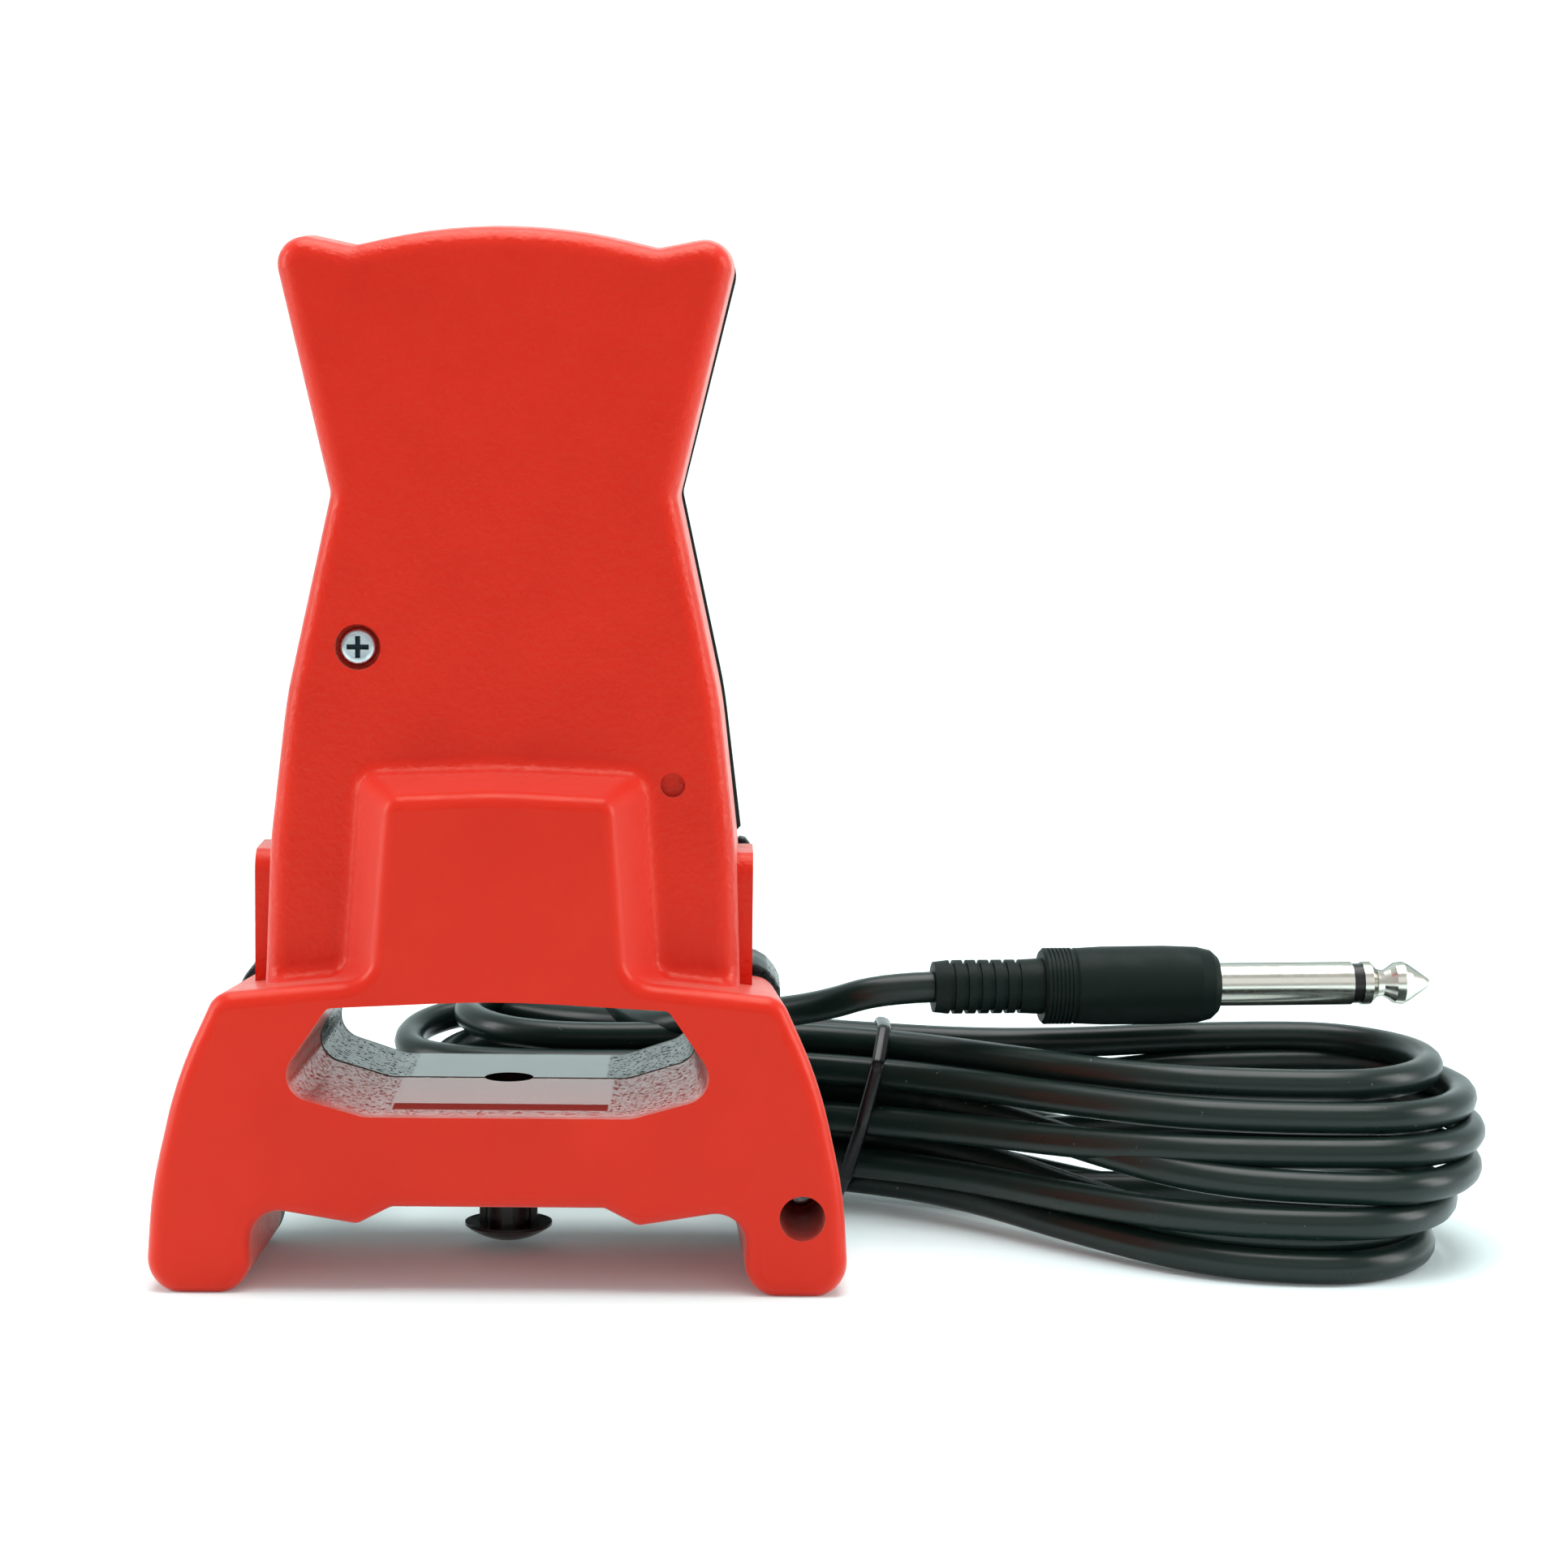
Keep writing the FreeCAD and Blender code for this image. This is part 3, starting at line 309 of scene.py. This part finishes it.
def tie_crossings(line, middle, across):
    """Where the cord passes the tie's plane, as depth and height off the tie's middle."""
    up = Vector((0, 1, 0)).cross(across)
    found = []
    for a, b in zip(line, line[1:]):
        before, after = (a - middle).dot(across), (b - middle).dot(across)
        if before * after > 0 or (a - middle).length > TIE_REACH * MM:
            continue
        point = a.lerp(b, before / (before - after)) - middle
        found.append(Vector((point.y, -point.dot(up))))
    return found


def make_tie(cord):
    """A thin band pulled round the runs, hugging the outer ones."""
    middle = mm(TIE_X, TIE_DEPTH, TIE_Z)
    lean = math.radians(TIE_LEAN)
    across = Vector((math.cos(lean), 0, -math.sin(lean)))
    rise = Vector((math.sin(lean), 0, math.cos(lean)))
    runs = tie_crossings(centreline(cord), middle, across)
    mesh = bmesh.new()
    rings = []
    for step in range(TIE_STEPS):
        angle = 2 * math.pi * step / TIE_STEPS
        out = Vector((math.cos(angle), math.sin(angle)))
        outer = max(runs, key=lambda run: run.dot(out))
        ring = []
        for side in range(TIE_SIDES):
            turn = 2 * math.pi * side / TIE_SIDES
            away = CORD_D / 2 + TIE_CLEARANCE + TIE_HALF_THICKNESS * math.cos(turn)
            place = outer + out * away * MM
            point = middle + Vector((0, place.x, 0)) + rise * place.y
            ring.append(mesh.verts.new(point + across * TIE_HALF_WIDTH * math.sin(turn) * MM))
        rings.append(ring)
    for a, b in zip(rings, rings[1:] + rings[:1]):
        for i in range(TIE_SIDES):
            mesh.faces.new((a[i - 1], b[i - 1], b[i], a[i])).smooth = True
    bmesh.ops.recalc_face_normals(mesh, faces=mesh.faces)
    tie = link_mesh("tie_band", mesh)
    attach(tie, "base")
    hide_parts("hank_tie")
    return tie


# ---- return spring ----
SPRING_MEAN_R = 5.5
SPRING_WIRE_R = 0.7
SPRING_TURNS = 6.5
SPRING_STEPS = 40           # stations in a turn
SPRING_SIDES = 12


def make_spring():
    """The coil of the CAD spring, built as a smooth helix in its place."""
    low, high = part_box("return_spring")
    wire, mean = SPRING_WIRE_R * MM, SPRING_MEAN_R * MM
    middle_z = (low[2] + high[2]) / 2
    first, last = low[1] + wire, high[1] - wire
    count = round(SPRING_TURNS * SPRING_STEPS)
    mesh = bmesh.new()
    rings = []
    for step in range(count + 1):
        angle = 2 * math.pi * step / SPRING_STEPS
        out = Vector((math.cos(angle), 0, math.sin(angle)))
        place = Vector((0, mix(first, last, step / count), middle_z)) + out * mean
        ring = []
        for side in range(SPRING_SIDES):
            turn = 2 * math.pi * side / SPRING_SIDES
            offset = out * math.cos(turn) + Vector((0, 1, 0)) * math.sin(turn)
            ring.append(mesh.verts.new(place + offset * wire))
        rings.append(ring)
    for a, b in zip(rings, rings[1:]):
        for i in range(SPRING_SIDES):
            mesh.faces.new((a[i - 1], a[i], b[i], b[i - 1])).smooth = True
    mesh.faces.new(rings[0][::-1])
    mesh.faces.new(rings[-1])
    bmesh.ops.recalc_face_normals(mesh, faces=mesh.faces)
    spring = link_mesh("spring_coil", mesh)
    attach(spring, "base")
    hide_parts("return_spring")
    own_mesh(spring)
    return spring


# ---- small pieces of the black housing that show past the red shell ----
SHOULDER = ((33.2, 35.5), (33.2, 40.6), (33.9, 40.9), (35.0, 40.6), (36.4, 39.8), (37.6, 38.4),
            (38.4, 36.9), (38.4, 34.0))
SHOULDER_DEPTHS = (31.5, 45.0)
SHOULDER_BEVEL = 0.5
EAR_CAP = ((31.9, 56.0), (31.9, 58.5), (32.4, 58.9), (33.2, 58.7), (33.9, 57.8), (33.9, 56.0))
EAR_CAP_DEPTHS = (30.2, 33.0)
EAR_CAP_BEVEL = 0.3


def rounded_plate(mesh, outline, depths, side, bevel):
    """A plate with this outline of (x, z), between two depths, with its edges rounded."""
    front, back = ([mesh.verts.new(mm(side * x, depth, z)) for x, z in outline]
                   for depth in depths)
    faces = [mesh.faces.new(front), mesh.faces.new(back[::-1])]
    for i in range(len(outline)):
        mesh.faces.new((front[i], back[i], back[i - 1], front[i - 1]))
    edges = [edge for face in faces for edge in face.edges]
    bmesh.ops.bevel(mesh, geom=edges, offset=bevel * MM, segments=3, profile=0.5, affect="EDGES")


def make_housing_humps():
    """The housing's bulges behind the red shoulders and ears, on both sides."""
    mesh = bmesh.new()
    for side in (-1, 1):
        rounded_plate(mesh, SHOULDER, SHOULDER_DEPTHS, side, SHOULDER_BEVEL)
        rounded_plate(mesh, EAR_CAP, EAR_CAP_DEPTHS, side, EAR_CAP_BEVEL)
    bmesh.ops.recalc_face_normals(mesh, faces=mesh.faces)
    for face in mesh.faces:
        face.smooth = True
    humps = link_mesh("housing_humps", mesh)
    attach(humps, "base")
    return humps


# ---- materials ----
class Paint:
    """A material whose nodes are added step by step round one shader."""

    def __init__(self, name, color, roughness, metallic=0.0, specular=0.5):
        self.material = bpy.data.materials.new(name)
        self.material.use_nodes = True
        self.tree = self.material.node_tree
        self.tree.nodes.clear()
        output = self.add("ShaderNodeOutputMaterial")
        self.shader = self.add("ShaderNodeBsdfPrincipled")
        self.link(self.shader.outputs["BSDF"], output.inputs["Surface"])
        self.set("Base Color", (*color, 1.0))
        self.set("Roughness", roughness)
        self.set("Metallic", metallic)
        self.set("Specular IOR Level", specular)
        self.place = self.add("ShaderNodeTexCoord").outputs["Object"]
        self.normal = None

    def add(self, kind):
        return self.tree.nodes.new(kind)

    def link(self, a, b):
        self.tree.links.new(a, b)

    def set(self, socket, value):
        self.shader.inputs[socket].default_value = value

    def noise(self, scale, detail=2.0, roughness=0.5, stretch=(1, 1, 1)):
        texture = self.add("ShaderNodeTexNoise")
        texture.inputs["Scale"].default_value = scale
        texture.inputs["Detail"].default_value = detail
        texture.inputs["Roughness"].default_value = roughness
        mapping = self.add("ShaderNodeMapping")
        mapping.inputs["Scale"].default_value = stretch
        self.link(self.place, mapping.inputs["Vector"])
        self.link(mapping.outputs["Vector"], texture.inputs["Vector"])
        return texture.outputs["Fac"]

    def ramp(self, value, low, high, start=0.0, end=1.0):
        """Maps value from low..high to start..end, clamped."""
        node = self.add("ShaderNodeMapRange")
        node.inputs["From Min"].default_value = low
        node.inputs["From Max"].default_value = high
        node.inputs["To Min"].default_value = start
        node.inputs["To Max"].default_value = end
        self.link(value, node.inputs["Value"])
        return node.outputs["Result"]

    def math(self, operation, a, b=None):
        node = self.add("ShaderNodeMath")
        node.operation = operation
        for i, value in enumerate((a, b)):
            if value is None:
                continue
            if isinstance(value, (int, float)):
                node.inputs[i].default_value = value
            else:
                self.link(value, node.inputs[i])
        return node.outputs["Value"]

    def axes(self):
        node = self.add("ShaderNodeSeparateXYZ")
        self.link(self.place, node.inputs["Vector"])
        return node.outputs["X"], node.outputs["Y"], node.outputs["Z"]

    def blend(self, value, first, second):
        """A colour between two, each a triple or another blend's output."""
        node = self.add("ShaderNodeMix")
        node.data_type = "RGBA"
        for socket, color in ((node.inputs["A"], first), (node.inputs["B"], second)):
            if isinstance(color, tuple):
                socket.default_value = (*color, 1.0)
            else:
                self.link(color, socket)
        self.link(value, node.inputs["Factor"])
        return node.outputs["Result"]

    def color_by(self, value, first, second):
        self.drive("Base Color", self.blend(value, first, second))

    def drive(self, socket, value):
        self.link(value, self.shader.inputs[socket])

    def product(self, first, *others):
        for other in others:
            first = self.math("MULTIPLY", first, other)
        return first

    def between(self, value, rise, fall):
        """1 between two edges and 0 outside; each edge is a pair in metres."""
        return self.product(self.ramp(value, *rise), self.ramp(value, *fall, 1.0, 0.0))

    def near(self, value, full, gone):
        """1 where value is within full millimetres of 0, and 0 from gone on."""
        return self.ramp(self.math("ABSOLUTE", value), full * MM, gone * MM, 1.0, 0.0)

    def roughness_between(self, value, low, high):
        """Roughness that wanders between two values with a noise."""
        self.drive("Roughness", self.ramp(value, 0.3, 0.7, low, high))

    def bump(self, height, distance, strength=1.0):
        node = self.add("ShaderNodeBump")
        node.inputs["Distance"].default_value = distance * MM
        if isinstance(strength, (int, float)):
            node.inputs["Strength"].default_value = strength
        else:
            self.link(strength, node.inputs["Strength"])
        self.link(height, node.inputs["Height"])
        if self.normal is not None:
            self.link(self.normal, node.inputs["Normal"])
        self.normal = node.outputs["Normal"]
        self.link(self.normal, self.shader.inputs["Normal"])


WINDOW_SILL = (23.0 * MM, 23.6 * MM)    # heights where its finish starts
RED_WINDOW_TOP = (39.9 * MM, 40.6 * MM)
BLACK_WINDOW_TOP = (39.4 * MM, 40.0 * MM)
PIT_SCALE = 1500


def red_shell_paint():
    """Satin red moulding, smooth and glossy inside the window, grainy beside the boss."""
    shine, window_shine = 0.38, 0.24
    paint = Paint("red_shell", (0.62, 0.011, 0.002), 0.40, specular=shine)
    x, y, z = paint.axes()
    window = paint.product(paint.ramp(y, depth_at(1.2), depth_at(2.2)),
                           paint.between(z, WINDOW_SILL, RED_WINDOW_TOP),
                           paint.near(x, 31.0, 31.6))
    # a polished patch in the window's floor, with a dark red strip along its front edge
    patch = paint.product(window, paint.near(x, 14.6, 15.0))
    lip = (depth_at(5.4), depth_at(5.7))
    strip = paint.product(patch, paint.between(y, lip, (depth_at(10.0), depth_at(10.4))))
    patch = paint.product(patch, paint.ramp(y, *lip))
    # burrs along the parting line
    burrs = paint.product(paint.noise(900, 3.0, 0.7), 1.2 * MM)
    seam = paint.product(window, paint.ramp(paint.math("ADD", y, burrs),
                                            depth_at(SEAM_DEPTH - 0.45),
                                            depth_at(SEAM_DEPTH - 0.35)))
    shades = paint.blend(paint.ramp(paint.noise(70, 3.0), 0.3, 0.7),
                         (0.66, 0.013, 0.003), (0.61, 0.010, 0.002))
    shades = paint.blend(strip, shades, (0.62, 0.003, 0.002))
    shades = paint.blend(seam, shades, (0.004, 0.002, 0.002))
    paint.drive("Base Color", shades)
    # the strip, the seam and the pits round the patch don't shine
    pits = paint.ramp(paint.noise(PIT_SCALE, 3.0, 0.7), 0.53, 0.56)
    pits = paint.product(pits, paint.math("SUBTRACT", window, patch))
    dull = paint.math("MAXIMUM", paint.math("MAXIMUM", strip, seam), pits)
    paint.drive("Specular IOR Level",
                paint.product(paint.ramp(window, 0, 1, shine, window_shine),
                              paint.ramp(dull, 0, 1, 1.0, 0.0)))
    rough = paint.ramp(paint.noise(400, 2.0), 0.3, 0.7, 0.31, 0.40)
    glossy = paint.product(window, paint.ramp(patch, 0, 1, 0.20, 0.32))
    paint.drive("Roughness", paint.math("SUBTRACT", rough, glossy))
    paint.bump(paint.noise(2600, 3.0, 0.6), 0.06,
               paint.math("SUBTRACT", paint.ramp(window, 0, 1, 0.12, 0.55),
                          paint.product(patch, 0.53)))
    # the moulded grain of the tray, deeper in than the boss
    recess = paint.ramp(y, depth_at(5.0), depth_at(8.5))
    outside = paint.ramp(window, 0, 1, 1.0, 0.0)
    paint.bump(paint.noise(950, 2.0, 0.55), 0.16, paint.product(recess, outside, 0.8))
    paint.set("Specular Tint", (1.0, 0.74, 0.55, 1.0))
    paint.set("Sheen Weight", 0.30)
    paint.set("Sheen Roughness", 0.45)
    paint.set("Sheen Tint", (1.0, 0.72, 0.60, 1.0))
    return paint.material


def black_shell_paint():
    """Satin black moulding, with the same polished patch and pits inside the window."""
    shine, window_shine = 0.35, 0.28
    paint = Paint("black_shell", (0.008, 0.011, 0.011), 0.42, specular=shine)
    x, y, z = paint.axes()
    inside = paint.product(paint.between(z, WINDOW_SILL, BLACK_WINDOW_TOP),
                           paint.ramp(y, depth_at(46.5), depth_at(47.5), 1.0, 0.0))
    patch = paint.product(inside, paint.near(x, 13.6, 14.0))
    rough = paint.ramp(paint.noise(300, 3.0), 0.3, 0.7, 0.38, 0.48)
    glossy = paint.product(inside, paint.ramp(patch, 0, 1, 0.20, 0.34))
    paint.drive("Roughness", paint.math("SUBTRACT", rough, glossy))
    pits = paint.ramp(paint.noise(PIT_SCALE, 3.0, 0.7), 0.55, 0.58)
    dull = paint.product(pits, paint.math("SUBTRACT", inside, patch))
    paint.drive("Specular IOR Level",
                paint.product(paint.ramp(inside, 0, 1, shine, window_shine),
                              paint.ramp(dull, 0, 1, 1.0, 0.0)))
    paint.bump(paint.noise(2400, 3.0, 0.6), 0.07,
               paint.math("SUBTRACT", paint.ramp(inside, 0, 1, 0.25, 0.5),
                          paint.product(patch, 0.47)))
    return paint.material


def tread_paint():
    """Matt ribbed rubber."""
    paint = Paint("tread_rubber", (0.02, 0.02, 0.02), 0.7, specular=0.35)
    paint.color_by(paint.ramp(paint.noise(120, 4.0), 0.35, 0.7), (0.016, 0.016, 0.017),
                   (0.028, 0.028, 0.028))
    paint.roughness_between(paint.noise(260, 3.0), 0.6, 0.8)
    paint.bump(paint.noise(1500, 4.0, 0.7), 0.08, 0.5)
    return paint.material


def gloss_black_paint():
    """Glossy black plastic."""
    paint = Paint("black_gloss", (0.006, 0.006, 0.007), 0.22, specular=0.35)
    paint.roughness_between(paint.noise(350, 3.0), 0.18, 0.30)
    paint.bump(paint.noise(900, 2.0), 0.03, 0.25)
    return paint.material


def cord_paint():
    """Smooth PVC with faint drawing marks and a few specks of lint."""
    black = (0.006, 0.016, 0.013)
    paint = Paint("cord_pvc", black, 0.30, specular=0.34)
    lint = paint.ramp(paint.noise(900, 2.0, 0.7), 0.735, 0.76)
    paint.color_by(lint, black, (0.14, 0.14, 0.13))
    rough = paint.ramp(paint.noise(160, 4.0), 0.3, 0.7, 0.27, 0.36)
    paint.drive("Roughness", paint.math("ADD", rough, paint.product(lint, 0.4)))
    paint.bump(paint.noise(220, 3.0, 0.6), 0.10, 0.12)
    paint.bump(paint.noise(1800, 2.0), 0.03, 0.15)
    return paint.material


def plug_moulding_paint():
    """Matt moulded plug body."""
    paint = Paint("plug_moulding", (0.005, 0.012, 0.010), 0.50, specular=0.13)
    paint.roughness_between(paint.noise(300, 4.0), 0.45, 0.60)
    paint.bump(paint.noise(1600, 3.0, 0.6), 0.05, 0.35)
    return paint.material


def plug_metal_paint():
    """Polished nickel with very fine turning marks, with painted shade where it turns away from
    the view.
    """
    paint = Paint("plug_metal", (0.88, 0.87, 0.80), 0.2, metallic=1.0)
    paint.set("Specular Tint", (0.35, 0.35, 0.35, 1.0))
    # painted shade: the colour goes near black towards the outline, where the surface turns away
    # from the view
    facing = paint.add("ShaderNodeLayerWeight").outputs["Facing"]
    paint.color_by(paint.ramp(facing, 0.62, 0.92), (0.80, 0.79, 0.71), (0.13, 0.14, 0.13))
    paint.roughness_between(paint.noise(120, 3.0, stretch=(12, 1, 1)), 0.16, 0.26)
    paint.bump(paint.noise(500, 2.0, stretch=(10, 0.4, 0.4)), 0.01, 0.12)
    return paint.material


def steel_paint():
    """Plated steel, with painted shade in the cross of the front screw."""
    paint = Paint("steel", (0.62, 0.64, 0.66), 0.28, metallic=1.0)
    x, y, z = paint.axes()
    # painted shade: the front screw's cross turns near black below its head's face
    sunk_shade = paint.ramp(y, depth_at(SCREW_FACE + 0.15), depth_at(SCREW_FACE + 0.7))
    near_x = paint.near(paint.math("SUBTRACT", x, SCREW_X * MM), *CROSS_REACH)
    near_z = paint.near(paint.math("SUBTRACT", z, SCREW_Z * MM), *CROSS_REACH)
    cross = paint.product(sunk_shade, near_x, near_z)
    shades = paint.blend(paint.ramp(paint.noise(500, 3.0), 0.35, 0.65), (0.60, 0.66, 0.68),
                         (0.46, 0.51, 0.55))
    paint.color_by(cross, shades, (0.02, 0.03, 0.035))
    paint.roughness_between(paint.noise(900, 3.0), 0.20, 0.38)
    paint.bump(paint.noise(1400, 2.0), 0.02, 0.3)
    return paint.material


def plain_paint(name, first, second, low, high, scale=400, metallic=0.0):
    """A simple mottled finish for a piece that hardly shows."""
    paint = Paint(name, first, low, metallic=metallic)
    paint.color_by(paint.ramp(paint.noise(scale, 3.0), 0.35, 0.65), first, second)
    paint.roughness_between(paint.noise(scale * 1.7, 3.0), low, high)
    paint.bump(paint.noise(scale * 4, 3.0), 0.04, 0.3)
    return paint.material


WEAVE_PITCH = 0.55


def floor_paint():
    """White finely woven cloth."""
    paint = Paint("floor", (0.77, 0.90, 0.90), 0.9, specular=0.1)
    paint.set("Emission Color", (1.0, 1.0, 1.0, 1.0))
    x, y, _ = paint.axes()
    paint.drive("Emission Strength", paint.ramp(y, 0.25, 0.9, 0.06, 0.16))
    warp = paint.math("SINE", paint.product(x, 2 * math.pi / (WEAVE_PITCH * MM)))
    weft = paint.math("SINE", paint.product(y, 2 * math.pi / (WEAVE_PITCH * MM)))
    paint.bump(paint.product(warp, weft), 0.05, 0.25)
    return paint.material


def paint_all(made):
    """Gives each CAD piece its slot's finish, and each (piece, slot) in made its own."""
    finishes = {
        "red_shell": red_shell_paint(),
        "black_shell": black_shell_paint(),
        "black_gloss": gloss_black_paint(),
        "tread_rubber": tread_paint(),
        "steel": steel_paint(),
        "nylon": plain_paint("nylon", (0.72, 0.69, 0.60), (0.66, 0.63, 0.55), 0.4, 0.5),
        "felt": plain_paint("felt", (0.05, 0.05, 0.05), (0.09, 0.09, 0.09), 0.9, 1.0, 900),
        "bumper_rubber": plain_paint("bumper_rubber", (0.02, 0.02, 0.02), (0.03, 0.03, 0.03),
                                     0.6, 0.8),
        "board": plain_paint("board", (0.25, 0.12, 0.04), (0.30, 0.15, 0.05), 0.4, 0.6),
        "terminal_brass": plain_paint("terminal_brass", (0.75, 0.60, 0.30), (0.68, 0.55, 0.30),
                                      0.2, 0.4, metallic=1.0),
        "lead_insulation": plain_paint("lead_insulation", (0.30, 0.02, 0.02), (0.34, 0.03, 0.02),
                                       0.4, 0.5),
        "cord_pvc": cord_paint(),
        "plug_moulding": plug_moulding_paint(),
        "plug_metal": plug_metal_paint(),
        "plug_insulation": plain_paint("plug_insulation", (0.008, 0.008, 0.008),
                                       (0.012, 0.012, 0.012), 0.25, 0.35),
    }
    for part in frame["record"]["subparts"]:
        mesh = nodes[part["node"]].data
        mesh.materials.clear()
        mesh.materials.append(finishes[part["material_slot"]])
    for piece, slot in made:
        piece.data.materials.append(finishes[slot])


# ---- studio ----
FLOOR_HALF_WIDTH = 2.6      # metres, like the rest of the studio
FLOOR_FROM_Y, SWEEP_FROM_Y = -1.6, 0.55
SWEEP_R = 0.5
SWEEP_STEPS = 12
WALL_TOP = 2.4
WORLD_FRONT, WORLD_ELSEWHERE = 0.44, 0.56

# Each light's name, place, target, two sides and power in watts.
LIGHTS = (
    ("overhead", (0.05, 0.05, 0.95), (0.03, 0.05, 0.0), (0.8, 0.7), 8.8),
    ("left_box", (-0.8, -0.05, 0.35), (0.0, 0.0, 0.06), (0.3, 0.6), 3.4),
    ("right_box", (0.85, -0.05, 0.35), (0.0, 0.0, 0.06), (0.3, 0.6), 3.4),
    ("front_box", (0.1, -1.1, 0.62), (0.03, 0.0, 0.06), (1.6, 0.7), 1.6),
)


def make_floor():
    """A pale floor that sweeps up into the background."""
    profile = [(FLOOR_FROM_Y, 0.0), (SWEEP_FROM_Y, 0.0)]
    for step in range(1, SWEEP_STEPS + 1):
        angle = math.radians(90 * step / SWEEP_STEPS)
        profile.append((SWEEP_FROM_Y + SWEEP_R * math.sin(angle),
                        SWEEP_R - SWEEP_R * math.cos(angle)))
    profile.append((SWEEP_FROM_Y + SWEEP_R, WALL_TOP))
    mesh = bmesh.new()
    left, right = ([mesh.verts.new((x, y, z)) for y, z in profile]
                   for x in (-FLOOR_HALF_WIDTH, FLOOR_HALF_WIDTH))
    for i in range(1, len(profile)):
        mesh.faces.new((left[i - 1], right[i - 1], right[i], left[i])).smooth = True
    floor = link_mesh("floor", mesh)
    floor.data.materials.append(floor_paint())


def area_light(name, place, target, size, power):
    data = bpy.data.lights.new(name, "AREA")
    data.shape = "RECTANGLE"
    data.size, data.size_y = size
    data.energy = power
    lamp = bpy.data.objects.new(name, data)
    lamp.location = place
    lamp.rotation_mode = "QUATERNION"
    lamp.rotation_quaternion = (Vector(target) - Vector(place)).to_track_quat("-Z", "Y")
    bpy.context.scene.collection.objects.link(lamp)


def make_world():
    """Pale room light from all sides, dimmer from behind the camera."""
    world = bpy.data.worlds.new("studio")
    world.use_nodes = True
    tree = world.node_tree
    background = tree.nodes["Background"]
    direction = tree.nodes.new("ShaderNodeTexCoord").outputs["Generated"]
    parts = tree.nodes.new("ShaderNodeSeparateXYZ")
    tree.links.new(direction, parts.inputs["Vector"])
    forward = tree.nodes.new("ShaderNodeMapRange")
    forward.interpolation_type = "SMOOTHSTEP"
    forward.inputs["From Min"].default_value = -0.75
    forward.inputs["From Max"].default_value = -0.15
    forward.inputs["To Min"].default_value = WORLD_FRONT
    forward.inputs["To Max"].default_value = WORLD_ELSEWHERE
    tree.links.new(parts.outputs["Y"], forward.inputs["Value"])
    tree.links.new(forward.outputs["Result"], background.inputs["Strength"])
    background.inputs["Color"].default_value = (1.0, 1.0, 1.0, 1.0)
    bpy.context.scene.world = world


def make_studio():
    """The floor, the room's light and the lamps."""
    make_floor()
    make_world()
    for light in LIGHTS:
        area_light(*light)
    bpy.context.scene.view_settings.view_transform = "Standard"


make_camera()
route = cord_route()
cord = make_cord(route)
tie = make_tie(cord)
spring = make_spring()
humps = make_housing_humps()
paint_all([(cord, "cord_pvc"), (tie, "black_gloss"), (spring, "steel"),
           (humps, "black_shell")])
make_studio()
